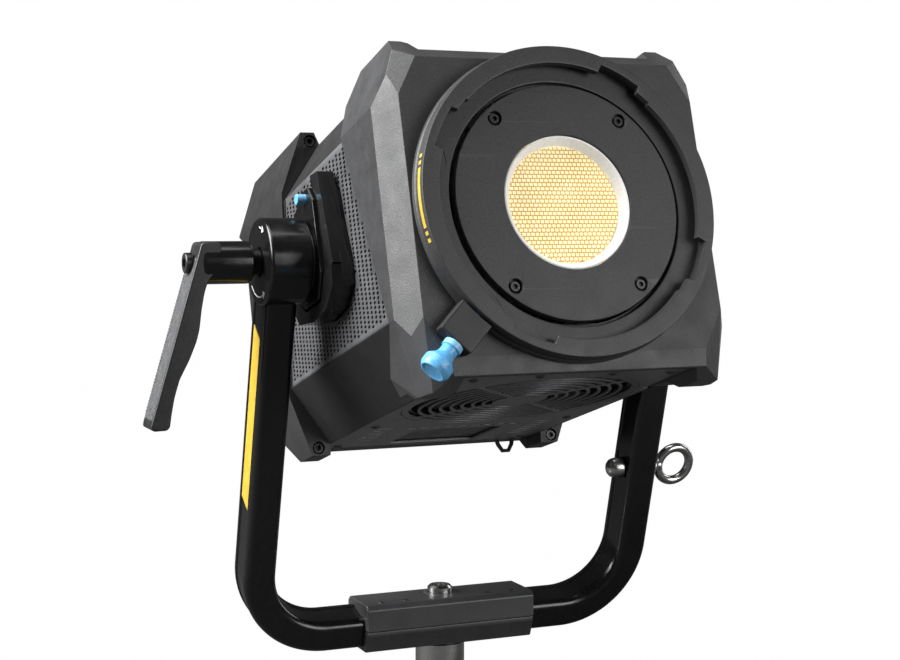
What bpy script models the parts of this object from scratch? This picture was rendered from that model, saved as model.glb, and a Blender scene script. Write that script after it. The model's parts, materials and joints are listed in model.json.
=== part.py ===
"""Studio LED spotlight: an octagonal lamp head with a bayonet accessory ring, hung in a U-shaped
yoke that stands on a steel spigot.

Three frames are used. The part frame has its origin at the centre of the spigot's lower end, +Z up
and the lamp facing -Y. The yoke frame has its origin on the tilt axis and leans forward. The head
frame has its origin on the tilt axis too, with its Y axis along the light beam, pitched up."""

import math

import bmesh
import bpy
from mathutils import Vector

MM = 0.001
GAP = 0.3 * MM

# Yoke and stand fitting
SPIGOT_RADIUS = 14.3 * MM
SPIGOT_LENGTH = 78.2 * MM
TILT_HEIGHT = 302.0 * MM
TILT_OFFSET = -58.5 * MM
YOKE_LEAN = math.radians(15.2)
ARM_X = 115.75 * MM
YOKE_DROP = 218.0 * MM
BEND_RADIUS = 42.0 * MM
TUBE_WIDTH = 18.0 * MM
TUBE_DEPTH = 25.0 * MM
TUBE_CORNER = 4.5 * MM
CHANNEL_WIDTH = 13.0 * MM
CHANNEL_DEPTH = 0.6 * MM
ARM_TOP = -14.0 * MM
BRACKET_HALF = 52.0 * MM
BRACKET_FRONT = -19.0 * MM
BRACKET_BACK = 14.0 * MM
BRACKET_TOP = 106.0 * MM
BRACKET_SPLIT = 91.0 * MM
BOLT_RADIUS = 4.0 * MM
EYEBOLT_DROP = 130.0 * MM

# Tilt knuckles, the same on both sides: distances are from the middle of the lamp
BARREL_RADIUS = 22.85 * MM
BARREL_OUTER = 126.1 * MM
BARREL_INNER = 103.5 * MM
BARREL_WALL = 3.6 * MM
SHAFT_RADIUS = 10.0 * MM
SHOE_OUTER = 101.0 * MM
SHOE_INNER = 94.6 * MM
RECEIVER_INNER = 86.0 * MM
LEVER_HUB_RADIUS = 11.0 * MM
LEVER_HUB_END = 159.5 * MM
LEVER_THICK = 19.0 * MM

# Head, in the head frame
HEAD_PITCH = math.radians(16.7)
RING_RADIUS = 78.8 * MM
RING_BASE_RADIUS = 80.0 * MM
PLATE_RADIUS = 60.0 * MM
PLATE_FRONT = -107.9 * MM
WINDOW_RADIUS = 34.0 * MM
EMITTER_RADIUS = 30.0 * MM
SCREW_X = 34.2 * MM
SCREW_Z = 42.1 * MM
BODY_HALF = 88.5 * MM
BODY_TOP = 83.5 * MM
FAN_Y = -26.0 * MM
FAN_RADIUS = 62.3 * MM
LOCK_HEIGHT = -107.0 * MM
RECESS_FLOOR = 136.0 * MM
KNOB_AT = (40.0 * MM, 24.0 * MM)
BUTTON_AT = (40.0 * MM, -2.0 * MM)
SWITCH_AT = (36.0 * MM, -24.0 * MM)

ROUND = 32


def mm(*values):
    """The values as metres, for outlines that are stated in millimetres."""
    return tuple(value * MM for value in values)


def points(*pairs):
    return [mm(*pair) for pair in pairs]


# ---------------------------------------------------------------- scene and materials


def clear_scene():
    for obj in list(bpy.data.objects):
        bpy.data.objects.remove(obj, do_unlink=True)


def make_collection(name, hidden=False):
    group = bpy.data.collections.new(name)
    group.hide_render = hidden
    bpy.context.scene.collection.children.link(group)
    return group


def make_material(name, colour, roughness, metallic=0.0):
    material = bpy.data.materials.new(name)
    material.use_nodes = True
    shader = material.node_tree.nodes["Principled BSDF"]
    shader.inputs["Base Color"].default_value = (*colour, 1.0)
    shader.inputs["Roughness"].default_value = roughness
    shader.inputs["Metallic"].default_value = metallic
    return material


clear_scene()
PARTS = make_collection("studio_spotlight")
CUTTERS = make_collection("cutters", hidden=True)

CHARCOAL = make_material("charcoal_casting", (0.045, 0.046, 0.05), 0.62)
GLOSS_BLACK = make_material("gloss_black", (0.012, 0.012, 0.013), 0.22)
DARK_METAL = make_material("dark_sheet_metal", (0.11, 0.11, 0.115), 0.5, 0.3)
STEEL = make_material("stainless_steel", (0.62, 0.62, 0.61), 0.25, 1.0)
BLACK_STEEL = make_material("black_steel", (0.03, 0.03, 0.03), 0.35, 0.8)
ALUMINIUM = make_material("aluminium", (0.6, 0.6, 0.61), 0.4, 1.0)
WHITE = make_material("white_reflector", (0.85, 0.85, 0.82), 0.4)
PHOSPHOR = make_material("phosphor", (0.9, 0.62, 0.25), 0.5)
BLUE = make_material("blue_anodised", (0.05, 0.4, 0.75), 0.3)
BRONZE = make_material("bronze", (0.45, 0.27, 0.1), 0.4, 1.0)
BOARD = make_material("circuit_board", (0.03, 0.12, 0.06), 0.5)


# ---------------------------------------------------------------- shape tools


def place(obj, parent, location=(0, 0, 0), rotation=(0, 0, 0)):
    obj.parent = parent
    obj.location = location
    obj.rotation_euler = rotation
    return obj


def finish(obj, material, cutter=False):
    """Puts the object in its collection, and shades its round faces smooth."""
    (CUTTERS if cutter else PARTS).objects.link(obj)
    if cutter:
        obj.hide_render = True
        obj.display_type = "WIRE"
    else:
        obj.data.materials.append(material)
    obj.data.shade_smooth()
    obj.data.set_sharp_from_angle(angle=math.radians(32))
    return obj


def object_of(name, mesh_maker):
    mesh = bpy.data.meshes.new(name)
    shape = bmesh.new()
    mesh_maker(shape)
    bmesh.ops.recalc_face_normals(shape, faces=shape.faces)
    shape.to_mesh(mesh)
    shape.free()
    return bpy.data.objects.new(name, mesh)


def box(name, low, high, parent, material=None, rotation=(0, 0, 0)):
    """A block between two corners. Without a material it is a cutter."""
    low, high = Vector(low), Vector(high)

    def make(shape):
        bmesh.ops.create_cube(shape, size=1.0)
        bmesh.ops.scale(shape, vec=high - low, verts=shape.verts)

    obj = finish(object_of(name, make), material, cutter=material is None)
    return place(obj, parent, (low + high) / 2, rotation)


AXIS_TURN = {"X": (0, math.pi / 2, 0), "Y": (-math.pi / 2, 0, 0), "Z": (0, 0, 0)}


def cylinder(name, radius, start, length, axis, parent, material=None, sides=ROUND):
    """A cylinder from the point start, along +axis for length."""

    def make(shape):
        bmesh.ops.create_cone(
            shape, cap_ends=True, segments=sides, radius1=radius, radius2=radius, depth=length
        )
        bmesh.ops.translate(shape, vec=(0, 0, length / 2), verts=shape.verts)

    obj = finish(object_of(name, make), material, cutter=material is None)
    return place(obj, parent, start, AXIS_TURN[axis])


def turned(name, profile, parent, material=None, location=(0, 0, 0), rotation=(0, 0, 0), sides=ROUND):
    """A solid turned about local Z. The profile runs from top to bottom, as (radius, height), and
    a profile that ends off the axis is closed into a ring."""
    mesh = bpy.data.meshes.new(name)
    ring = profile[0][0] > 0
    corners = [(radius, 0, height) for radius, height in profile]
    edges = [(i, i + 1) for i in range(len(corners) - 1)]
    if ring:
        edges.append((len(corners) - 1, 0))
    mesh.from_pydata(corners, edges, [])
    obj = finish(bpy.data.objects.new(name, mesh), material, cutter=material is None)
    screw = obj.modifiers.new("turn", "SCREW")
    screw.axis = "Z"
    screw.steps = sides
    screw.render_steps = sides
    screw.use_merge_vertices = True
    screw.merge_threshold = 0.00001
    screw.use_smooth_shade = True
    return place(obj, parent, location, rotation)


def flat_curve(name, outlines, half_thickness):
    """A flat 2D curve in its local XY plane; outlines after the first are holes."""
    curve = bpy.data.curves.new(name, "CURVE")
    curve.dimensions = "2D"
    curve.fill_mode = "BOTH"
    curve.extrude = half_thickness
    for outline in outlines:
        spline = curve.splines.new("POLY")
        spline.points.add(len(outline) - 1)
        for point, (x, y) in zip(spline.points, outline):
            point.co = (x, y, 0, 1)
        spline.use_cyclic_u = True
    return bpy.data.objects.new(name, curve)


def mesh_from_curve(curve_object, name, material, weld=0.00001):
    """A closed mesh made from a curve object, in the same place."""
    PARTS.objects.link(curve_object)
    graph = bpy.context.evaluated_depsgraph_get()
    mesh = bpy.data.meshes.new_from_object(curve_object.evaluated_get(graph))
    shape = bmesh.new()
    shape.from_mesh(mesh)
    bmesh.ops.remove_doubles(shape, verts=shape.verts, dist=weld)
    bmesh.ops.recalc_face_normals(shape, faces=shape.faces)
    shape.to_mesh(mesh)
    shape.free()
    bpy.data.objects.remove(curve_object, do_unlink=True)
    mesh.name = name
    mesh.materials.clear()
    return finish(bpy.data.objects.new(name, mesh), material, cutter=material is None)


PLANE_TURN = {"XY": (0, 0, 0), "XZ": (math.pi / 2, 0, 0), "YZ": (math.pi / 2, 0, math.pi / 2)}


def prism(name, outlines, plane, low, high, parent, material=None):
    """An outline in the plane, carried from low to high along the third axis."""
    middle = (low + high) / 2
    curve = flat_curve(name + "_outline", outlines, abs(high - low) / 2)
    obj = mesh_from_curve(curve, name, material)
    location = {"XY": (0, 0, middle), "XZ": (0, middle, 0), "YZ": (middle, 0, 0)}[plane]
    return place(obj, parent, location, PLANE_TURN[plane])


def wire(name, route, radius, parent, material, closed=False, location=(0, 0, 0), rotation=(0, 0, 0)):
    """A round wire along the route."""
    curve = bpy.data.curves.new(name, "CURVE")
    curve.dimensions = "3D"
    curve.bevel_depth = radius
    curve.bevel_resolution = 1
    curve.use_fill_caps = True
    spline = curve.splines.new("POLY")
    spline.points.add(len(route) - 1)
    for point, position in zip(spline.points, route):
        point.co = (*position, 1)
    spline.use_cyclic_u = closed
    obj = mesh_from_curve(bpy.data.objects.new(name + "_route", curve), name, material)
    return place(obj, parent, location, rotation)


def boolean(target, other, operation):
    modifier = target.modifiers.new(operation.lower(), "BOOLEAN")
    modifier.operation = operation
    modifier.solver = "EXACT"
    modifier.object = other
    return target


def cut(target, *others):
    for other in others:
        boolean(target, other, "DIFFERENCE")


def join(target, *others):
    for other in others:
        boolean(target, other, "UNION")


def bevel(obj, width, segments=2):
    modifier = obj.modifiers.new("bevel", "BEVEL")
    modifier.width = width
    modifier.segments = segments
    modifier.limit_method = "ANGLE"
    modifier.angle_limit = math.radians(28)


def arc(centre, radius, start, end, steps):
    """Points on an arc, from the start to the end angle in degrees."""
    angles = [math.radians(start + (end - start) * i / steps) for i in range(steps + 1)]
    return [(centre[0] + radius * math.cos(a), centre[1] + radius * math.sin(a)) for a in angles]


def circle(centre, radius, steps=ROUND):
    return arc(centre, radius, 0, 360, steps)[:-1]


def octagon(half_width, half_height, corner_x, corner_z):
    """An octagon whose corner cuts meet the sides at corner_z and the top at corner_x."""
    quarter = [(half_width, corner_z), (corner_x, half_height)]
    right = [(half_width, -corner_z)] + quarter
    top = [(-x, z) for x, z in reversed(quarter)]
    left = [(-half_width, -corner_z), (-corner_x, -half_height)]
    return right + top + left + [(corner_x, -half_height)]


def rounded_rectangle(half_x, half_y, corner, steps=3):
    outline = []
    for sign_x, sign_y, start in ((1, 1, 0), (-1, 1, 90), (-1, -1, 180), (1, -1, 270)):
        centre = (sign_x * (half_x - corner), sign_y * (half_y - corner))
        outline += arc(centre, corner, start, start + 90, steps)
    return outline


# ---------------------------------------------------------------- frames


def frame_empty(name, location, rotation):
    empty = bpy.data.objects.new(name, None)
    PARTS.objects.link(empty)
    return place(empty, None, location, rotation)


TILT_POINT = (0, TILT_OFFSET, TILT_HEIGHT)
yoke_frame = frame_empty("yoke_frame", TILT_POINT, (YOKE_LEAN, 0, 0))
tilt_frame = frame_empty("tilt_frame", TILT_POINT, (0, 0, 0))
head_frame = frame_empty("head_frame", TILT_POINT, (-HEAD_PITCH, 0, 0))


# ---------------------------------------------------------------- yoke


def tube_profile(grow=0.0, channels=True):
    """Section of the yoke tube: a rounded rectangle with a shallow channel on its wide faces."""
    half_x = TUBE_WIDTH / 2 + grow
    half_y = TUBE_DEPTH / 2 + grow
    outline = rounded_rectangle(half_x, half_y, TUBE_CORNER + grow, 2)
    if not channels:
        return outline
    edge = CHANNEL_WIDTH / 2
    floor = half_x - CHANNEL_DEPTH
    right = [(half_x, -edge), (floor, -edge), (floor, edge), (half_x, edge)]
    left = [(-x, -y) for x, y in right]
    quarter = len(outline) // 4
    return right + outline[: 2 * quarter] + left + outline[2 * quarter :]


def yoke_route():
    """Centreline of the tube in the yoke frame, as (x, z)."""
    turn = ARM_X - BEND_RADIUS
    low = BEND_RADIUS - YOKE_DROP
    left = arc((-turn, low), BEND_RADIUS, 180, 270, 7)
    right = arc((turn, low), BEND_RADIUS, 270, 360, 7)
    return [(-ARM_X, ARM_TOP)] + left + right + [(ARM_X, ARM_TOP)]


def swept(name, section, route, parent, material):
    """The section carried along a route in the XZ plane, closed at both ends."""

    def make(shape):
        rings = []
        for i, (x, z) in enumerate(route):
            before = Vector(route[max(i - 1, 0)])
            after = Vector(route[min(i + 1, len(route) - 1)])
            here = Vector((x, z))
            ways = [way.normalized() for way in (here - before, after - here) if way.length > 0]
            along = (ways[0] + ways[-1]).normalized()
            stretch = 1 / max(along.dot(ways[0]), 0.2)
            side = Vector((-along.y, along.x)) * stretch
            rings.append([shape.verts.new((x + side.x * u, v, z + side.y * u)) for u, v in section])
        count = len(section)
        for near, far in zip(rings, rings[1:]):
            for i in range(count):
                j = (i + 1) % count
                shape.faces.new((near[i], near[j], far[j], far[i]))
        shape.faces.new(rings[0])
        shape.faces.new(rings[-1][::-1])

    return place(finish(object_of(name, make), material), parent)


def yoke_tube():
    tube = swept("yoke_tube", tube_profile(), yoke_route(), yoke_frame, GLOSS_BLACK)
    start = (ARM_X - 20 * MM, 0, -EYEBOLT_DROP)
    eye_hole = cylinder("eyebolt_hole", 3.4 * MM, start, 40 * MM, "X", yoke_frame, sides=24)
    cut(tube, eye_hole, bolt_hole("tube_bolt_hole"))
    return tube


def bolt_hole(name, radius=BOLT_RADIUS + GAP, low=-10 * MM, high=BRACKET_TOP + 10 * MM):
    return cylinder(name, radius, (0, 0, low), high - low, "Z", None, sides=24)


def tube_seat(name):
    """Cutter with the tube's section, across the bracket."""
    obj = prism(name, [tube_profile(GAP, channels=False)], "XY", -80 * MM, 80 * MM, None)
    seat = place(obj, yoke_frame, (0, 0, -YOKE_DROP), (0, math.pi / 2, 0))
    return seat


def bracket():
    saddle = box(
        "bracket_saddle",
        (-BRACKET_HALF, BRACKET_FRONT, BRACKET_SPLIT),
        (BRACKET_HALF, BRACKET_BACK, BRACKET_TOP),
        None,
        GLOSS_BLACK,
    )
    bevel(saddle, 1.2 * MM)
    head_pocket = bolt_hole("bolt_head_pocket", 8.8 * MM, BRACKET_TOP - 1.2 * MM)
    cut(saddle, tube_seat("saddle_seat"), bolt_hole("saddle_bolt_hole"), head_pocket)
    low = SPIGOT_LENGTH + GAP
    high = BRACKET_SPLIT - GAP
    front = BRACKET_FRONT + 0.8 * MM
    back = BRACKET_BACK - 0.8 * MM
    slope = 3.6 * MM
    knee = high - 2.5 * MM
    outline = [
        (front, high), (front, knee), (front + slope, low), (back - slope, low), (back, knee),
        (back, high),
    ]
    base = prism("bracket_base", [outline], "YZ", -BRACKET_HALF, BRACKET_HALF, None, GLOSS_BLACK)
    cut(base, tube_seat("base_seat"), bolt_hole("base_bolt_hole"))


def spigot():
    """Stand pin with a chamfered nose and a locking groove, tapped for the bolt."""
    r = SPIGOT_RADIUS
    groove = r - 1.8 * MM
    profile = [
        (0, SPIGOT_LENGTH - 24 * MM),
        (BOLT_RADIUS + GAP, SPIGOT_LENGTH - 24 * MM),
        (BOLT_RADIUS + GAP, SPIGOT_LENGTH),
        (r, SPIGOT_LENGTH),
        (r, 46 * MM),
        (groove, 44 * MM),
        (groove, 34 * MM),
        (r, 32 * MM),
        (r, 1.5 * MM),
        (r - 1.5 * MM, 0),
        (0, 0),
    ]
    turned("spigot", profile, None, STEEL)
    head = BRACKET_TOP - 1.2 * MM + GAP
    bolt_profile = [
        (0, head + 5.5 * MM),
        (5.6 * MM, head + 5.5 * MM),
        (7.0 * MM, head + 4.4 * MM),
        (7.35 * MM, head + 2.8 * MM),
        (7.35 * MM, head),
        (BOLT_RADIUS, head),
        (BOLT_RADIUS, SPIGOT_LENGTH - 20 * MM),
        (0, SPIGOT_LENGTH - 20 * MM),
    ]
    bolt = turned("spigot_bolt", bolt_profile, None, STEEL, sides=24)
    socket = cylinder("bolt_socket", 3.2 * MM, (0, 0, head + 2.4 * MM), 6 * MM, "Z", None, sides=6)
    cut(bolt, socket)


def eyebolt():
    """Lifting eye for a safety cable: its shank crosses the right arm, with a domed nut inside."""
    outer = ARM_X + TUBE_WIDTH / 2 + GAP
    inner = ARM_X - TUBE_WIDTH / 2 - GAP
    centre = outer + 17.5 * MM
    ring = wire(
        "eyebolt",
        [(x, 0, z) for x, z in circle((0, 0), 10.6 * MM, 20)],
        2.7 * MM,
        yoke_frame,
        STEEL,
        closed=True,
        location=(centre, 0, -EYEBOLT_DROP),
    )
    ring.modifiers.clear()
    shank = cylinder(
        "eyebolt_shank", 3.0 * MM, (
            inner - 5 * MM, 0, -EYEBOLT_DROP,
        ), centre - inner - 4.5 * MM, "X", yoke_frame, sides=24
    )
    collar = cylinder(
        "eyebolt_collar", 6.5 * MM, (outer, 0, -EYEBOLT_DROP), 2.5 * MM, "X", yoke_frame, sides=24
    )
    neck = cylinder(
        "eyebolt_neck", 3.6 * MM, (outer + MM, 0, -EYEBOLT_DROP), 5.5 * MM, "X", yoke_frame, sides=24
    )
    join(ring, shank, collar, neck)
    nut_profile = [
        (0, 9.5 * MM),
        (2.6 * MM, 9.0 * MM),
        (5.2 * MM, 7.0 * MM),
        (6.0 * MM, 4.5 * MM),
        (6.3 * MM, 0.8 * MM),
        (6.3 * MM, 0),
        (3.3 * MM, 0),
        (3.3 * MM, 6 * MM),
        (0, 6 * MM),
    ]
    turned(
        "eyebolt_nut", nut_profile, yoke_frame, STEEL,
        location=(inner, 0, -EYEBOLT_DROP), rotation=(0, -math.pi / 2, 0), sides=24,
    )


# ---------------------------------------------------------------- tilt knuckles

SIDES = (("left", -1), ("right", 1))


def across(side, name, radius, near, far, parent, material=None, sides=ROUND):
    """A cylinder on the tilt axis, between two distances from the middle of the lamp."""
    start = min(side * near, side * far)
    return cylinder(name, radius, (start, 0, 0), abs(far - near), "X", parent, material, sides)


def knuckle(tag, side):
    """The barrel at the top of an arm, with the tilt shaft's bush in it."""
    barrel = across(
        side, "tilt_barrel_" + tag, BARREL_RADIUS, BARREL_INNER, BARREL_OUTER, yoke_frame,
        GLOSS_BLACK,
    )
    bevel(barrel, 1.2 * MM)
    bore = across(
        side, "barrel_bore_" + tag, 12.3 * MM, BARREL_INNER - MM, BARREL_OUTER - BARREL_WALL,
        yoke_frame,
    )
    mouth = across(side, "barrel_mouth_" + tag, 7.6 * MM, BARREL_INNER, BARREL_OUTER + MM, yoke_frame)
    pocket = prism(
        "barrel_pocket_" + tag, [tube_profile(GAP, channels=False)], "XY", -60 * MM, 0, None,
    )
    place(pocket, yoke_frame, (side * ARM_X, 0, ARM_TOP + GAP - 30 * MM))
    cut(barrel, bore, mouth, pocket)
    bush_outer = 12.3 * MM - GAP
    bush_inner = SHAFT_RADIUS + GAP
    low = BARREL_INNER + 0.5 * MM
    high = BARREL_OUTER - BARREL_WALL - GAP
    bush_profile = [(bush_inner, high), (bush_outer, high), (bush_outer, low), (bush_inner, low)]
    turned("tilt_bush_" + tag, bush_profile, yoke_frame, BRONZE, rotation=(0, side * math.pi / 2, 0))


def tilt_shaft(tag, side):
    outer = BARREL_OUTER - BARREL_WALL - 2 * GAP
    inner = SHOE_OUTER - 3.5 * MM
    across(side, "tilt_shaft_" + tag, SHAFT_RADIUS, inner, outer, head_frame, BLACK_STEEL)
    low = SHOE_OUTER + GAP
    high = BARREL_INNER - GAP
    profile = [(18 * MM, high), (18 * MM, low), (SHAFT_RADIUS + GAP, low), (SHAFT_RADIUS + GAP, high)]
    turned(
        "friction_washer_" + tag, profile, head_frame, BLACK_STEEL,
        rotation=(0, side * math.pi / 2, 0),
    )


SHOE_OUTLINE = points(
    (-20, 28), (-14, 36), (-4, 36), (24, 22), (29, 8), (26, -12), (8, -24), (-14, -24), (-22, -12),
)
RECEIVER_OUTLINE = points(
    (-14, 36), (-27.3, 31), (-30.4, 12.5), (-36.5, -10.3), (-35.6, -21.2), (-22, -30), (-2, -32),
    (22, -28), (33, -16), (33, -6), (27, 24), (6, 36),
)
RAIL_OUTLINE = points(
    (-15, 42), (-26, 41), (-29, 27), (-36, -10), (-24.5, -16), (-22.8, -12), (
        -20.9, 28.3,
    ), (-15.5, 36.5)
)
STOP_OUTLINE = points(
    (-36.4, -11), (-35.6, -21.2), (-22, -31), (-2, -33), (22, -29), (33, -17), (33, -8),
    (28.3, -11.5), (9, -25.4), (-15, -25.4), (-23.8, -13),
)
RELEASE_Y = -9 * MM
RELEASE_Z = 31 * MM


def wall(side, name, outlines, near, far, parent, material=None):
    """A plate parallel to the head's side, between two distances from the middle of the lamp."""
    return prism(name, outlines, "YZ", side * near, side * far, parent, material)


def side_mount(tag, side):
    """Quick-release mount: the shoe on the tilt shaft, and the receiver on the head that it clamps."""
    shoe = wall(side, "shoe_" + tag, [SHOE_OUTLINE], SHOE_INNER, SHOE_OUTER, head_frame, GLOSS_BLACK)
    bevel(shoe, 0.8 * MM)
    seat = across(
        side, "shoe_seat_" + tag, SHAFT_RADIUS + GAP, SHOE_OUTER - 3.8 * MM, SHOE_OUTER + MM,
        head_frame,
    )
    button_seat = cylinder(
        "release_seat_" + tag, 3.2 * MM, (0, RELEASE_Y, RELEASE_Z), 6 * MM, "X", head_frame, sides=24
    )
    button_seat.location.x = side * SHOE_OUTER - (5.5 * MM if side > 0 else 0.5 * MM)
    cut(shoe, seat, button_seat)
    receiver = wall(
        side, "receiver_" + tag, [
            RECEIVER_OUTLINE,
        ], RECEIVER_INNER, SHOE_INNER - GAP, head_frame, GLOSS_BLACK
    )
    rail = wall(
        side, "receiver_rail_" + tag, [RAIL_OUTLINE], 90 * MM, 99 * MM, head_frame,
    )
    stop = wall(
        side, "receiver_stop_" + tag, [STOP_OUTLINE], 90 * MM, 100 * MM, head_frame,
    )
    join(receiver, rail, stop)
    button = cylinder(
        "release_button_" + tag, 2.8 * MM, (
            0, RELEASE_Y, RELEASE_Z,
        ), 6.6 * MM, "X", head_frame, BLUE, sides=24
    )
    button.location.x = side * (SHOE_OUTER + 1.6 * MM) - 3.3 * MM
    bevel(button, 0.5 * MM)
    frame_plate = box(
        "side_frame_" + tag,
        (side * 84.2 * MM - 1.5 * MM, -58 * MM, -46 * MM),
        (side * 84.2 * MM + 1.5 * MM, 48 * MM, 47 * MM),
        head_frame,
        ALUMINIUM,
    )
    return frame_plate


LEVER_OUTLINE = points(
    (-148.4, 10.6), (-158.6, 10.6), (-160.2, 4.8), (-185.4, -81), (-185.6, -83.2), (-183.8, -84.2),
    (-177.4, -84), (-175.8, -82.4), (-174.9, -76), (-173.3, -67.5), (-170.6, -58.5), (-165.4, -48.6),
    (
        -161.7, -39.6,
    ), (-160.1, -33.6), (-158.9, -23.5), (-157.3, -14.9), (-155.7, -9.9), (-153.1, -6.4),
    (-148.4, -3.4),
)


def tilt_lever():
    """Clamping lever on the left barrel: a turned hub with a neck, and a cranked handle."""
    hub_profile = [
        (0, LEVER_HUB_END - 1.5 * MM),
        (9.5 * MM, LEVER_HUB_END - 1.5 * MM),
        (LEVER_HUB_RADIUS, LEVER_HUB_END - 3 * MM),
        (LEVER_HUB_RADIUS, 132 * MM),
        (10 * MM, 131 * MM),
        (7.0 * MM, 131 * MM),
        (7.0 * MM, BARREL_OUTER - BARREL_WALL + GAP),
        (0, BARREL_OUTER - BARREL_WALL + GAP),
    ]
    hub = turned(
        "tilt_lever", hub_profile, tilt_frame, GLOSS_BLACK, rotation=(0, -math.pi / 2, 0), sides=28,
    )
    half = LEVER_THICK / 2
    handle = prism("lever_handle", [LEVER_OUTLINE], "XZ", -half, half, tilt_frame)
    bevel(handle, 1.2 * MM)
    bolt_pocket = cylinder(
        "lever_bolt_pocket", 4.0 * MM, (-170 * MM, 0, 0), 28 * MM, "X", tilt_frame, sides=24,
    )
    recess = cylinder(
        "lever_bolt_recess", 5.6 * MM, (-176 * MM, 0, 0), 14.4 * MM, "X", tilt_frame, sides=24,
    )
    join(hub, handle)
    cut(hub, bolt_pocket, recess)
    bolt_profile = [
        (0, 165.5 * MM),
        (4.6 * MM, 165.5 * MM),
        (5.3 * MM, 164.8 * MM),
        (5.3 * MM, 161.9 * MM),
        (3.6 * MM, 161.9 * MM),
        (3.6 * MM, 142.4 * MM),
        (0, 142.4 * MM),
    ]
    bolt = turned(
        "lever_bolt", bolt_profile, tilt_frame, BLACK_STEEL, rotation=(0, -math.pi / 2, 0), sides=24,
    )
    socket = cylinder(
        "lever_bolt_socket", 2.6 * MM, (-170 * MM, 0, 0), 6.4 * MM, "X", tilt_frame, sides=6,
    )
    cut(bolt, socket)


def pivot_cap():
    """Plain screw cap on the right barrel, where the left one has its lever."""
    low = BARREL_OUTER - BARREL_WALL + GAP
    profile = [
        (0, BARREL_OUTER + 4 * MM),
        (9.5 * MM, BARREL_OUTER + 4 * MM),
        (11 * MM, BARREL_OUTER + 2.8 * MM),
        (11 * MM, BARREL_OUTER + GAP),
        (7.0 * MM, BARREL_OUTER + GAP),
        (7.0 * MM, low),
        (0, low),
    ]
    cap = turned(
        "pivot_cap", profile, yoke_frame, BLACK_STEEL, rotation=(0, math.pi / 2, 0), sides=24,
    )
    socket = cylinder(
        "cap_socket", 4 * MM, (BARREL_OUTER + MM, 0, 0), 5 * MM, "X", yoke_frame, sides=6,
    )
    cut(cap, socket)


# ---------------------------------------------------------------- head casing

SEAM = points(
    (-44, 96), (-44, 89.6), (-32.5, 74), (-40.6, 52.9), (
        -79.3, -52.5,
    ), (-52, -83.5), (-70, -85), (-79, -90.2), (-112, -90.2)
)
SHELL_SEAM = points(
    (-44, 96), (-44, 89.6), (-32.5, 74), (-40.6, 52.9), (-79.3, -52.5), (-52, -83.5), (-46, -96),
)
RIM_SLOPE = 0.1859
RIM_LOW = mm(90.3, -96)
RIM_HIGH = mm(54.7, 96)
INNER_OCTAGON = octagon(*mm(86, 81, 65.5, 51))


def shifted(outline, dy):
    return [(y + dy, z) for y, z in outline]


def hull(name, corners, parent, material):
    """The convex hull of the corners, mirrored left to right."""

    def make(shape):
        for x, y, z in corners:
            shape.verts.new((x, y, z))
            shape.verts.new((-x, y, z))
        found = bmesh.ops.convex_hull(shape, input=shape.verts)
        loose = [v for v in found["geom_interior"] if isinstance(v, bmesh.types.BMVert)]
        bmesh.ops.delete(shape, geom=loose, context="VERTS")
        bmesh.ops.dissolve_limit(shape, angle_limit=0.002, verts=shape.verts, edges=shape.edges)

    obj = finish(object_of(name, make), material, cutter=material is None)
    return place(obj, parent)


def front_bezel():
    """Front frame: a flat octagonal face, long side chamfers, and corner posts that stand proud."""
    upper = points(
        (81, -102.3, 55.2), (70, -102.3, 75), (84, -96.6, 67.1), (
            78.8, -95.2, 80.7,
        ), (75.7, -84.6, 89.6),
        (89.5, -86.2, 54), (89.5, -20, 54), (75.7, -20, 89.6)
    )
    lower = points(
        (81, -102.3, -54.3), (69, -102.3, -74.5), (68.4, -101, -83.2), (85.1, -94.6, -62), (
            77.5, -94.5, -79.4,
        ),
        (77.6, -95, -89.6), (80.6, -83.4, -89.6), (89.5, -86.2, -52), (89.5, -20, -52), (68, -20, -85)
    )
    bezel = hull("front_bezel", upper + lower, head_frame, CHARCOAL)
    side_view = [mm(-112, -83.2), mm(-112, 96)] + SEAM
    limit = prism("bezel_limit", [side_view], "YZ", -100 * MM, 100 * MM, head_frame)
    boolean(bezel, limit, "INTERSECT")
    top_gap = points(
        (-74, 96), (-69.4, 89.7), (-66.2, 87.8), (-64.2, 82), (64.2, 82), (66.2, 87.8), (69.4, 89.7),
        (74, 96),
    )
    top_notch = prism("bezel_top_notch", [top_gap], "XZ", -120 * MM, 0, head_frame)
    low_gap = points((-68, -96), (68, -96), (63, -83.8), (-63, -83.8))
    low_notch = prism("bezel_low_notch", [low_gap], "XZ", -120 * MM, 0, head_frame)
    panel_notch = box("bezel_panel_notch", mm(-62.4, -98.6, -90), mm(62.4, 0, -78), head_frame)
    inside = prism(
        "bezel_inside", [octagon(*mm(86.2, 79, 64, 50))], "XZ", -88 * MM, 20 * MM, head_frame,
    )
    front = prism(
        "bezel_front_inside", [octagon(*mm(79, 74, 60, 46))], "XZ", -97.5 * MM, -87 * MM, head_frame,
    )
    optic_hole = cylinder(
        "bezel_optic_hole", 61 * MM, mm(0, -110, 0), 30 * MM, "Y", head_frame, sides=48,
    )
    cut(bezel, top_notch, low_notch, panel_notch, inside, front, optic_hole)
    bevel(bezel, 0.7 * MM, 1)


def mesh_window(grow):
    """Outline of the perforated side panel in the YZ plane."""
    g = grow
    return points((-39.4 - g, 52.9 + g), (-77.6 - g, -51 - g), (81 + g, -51 - g), (61 + g, 52.9 + g))


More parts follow.
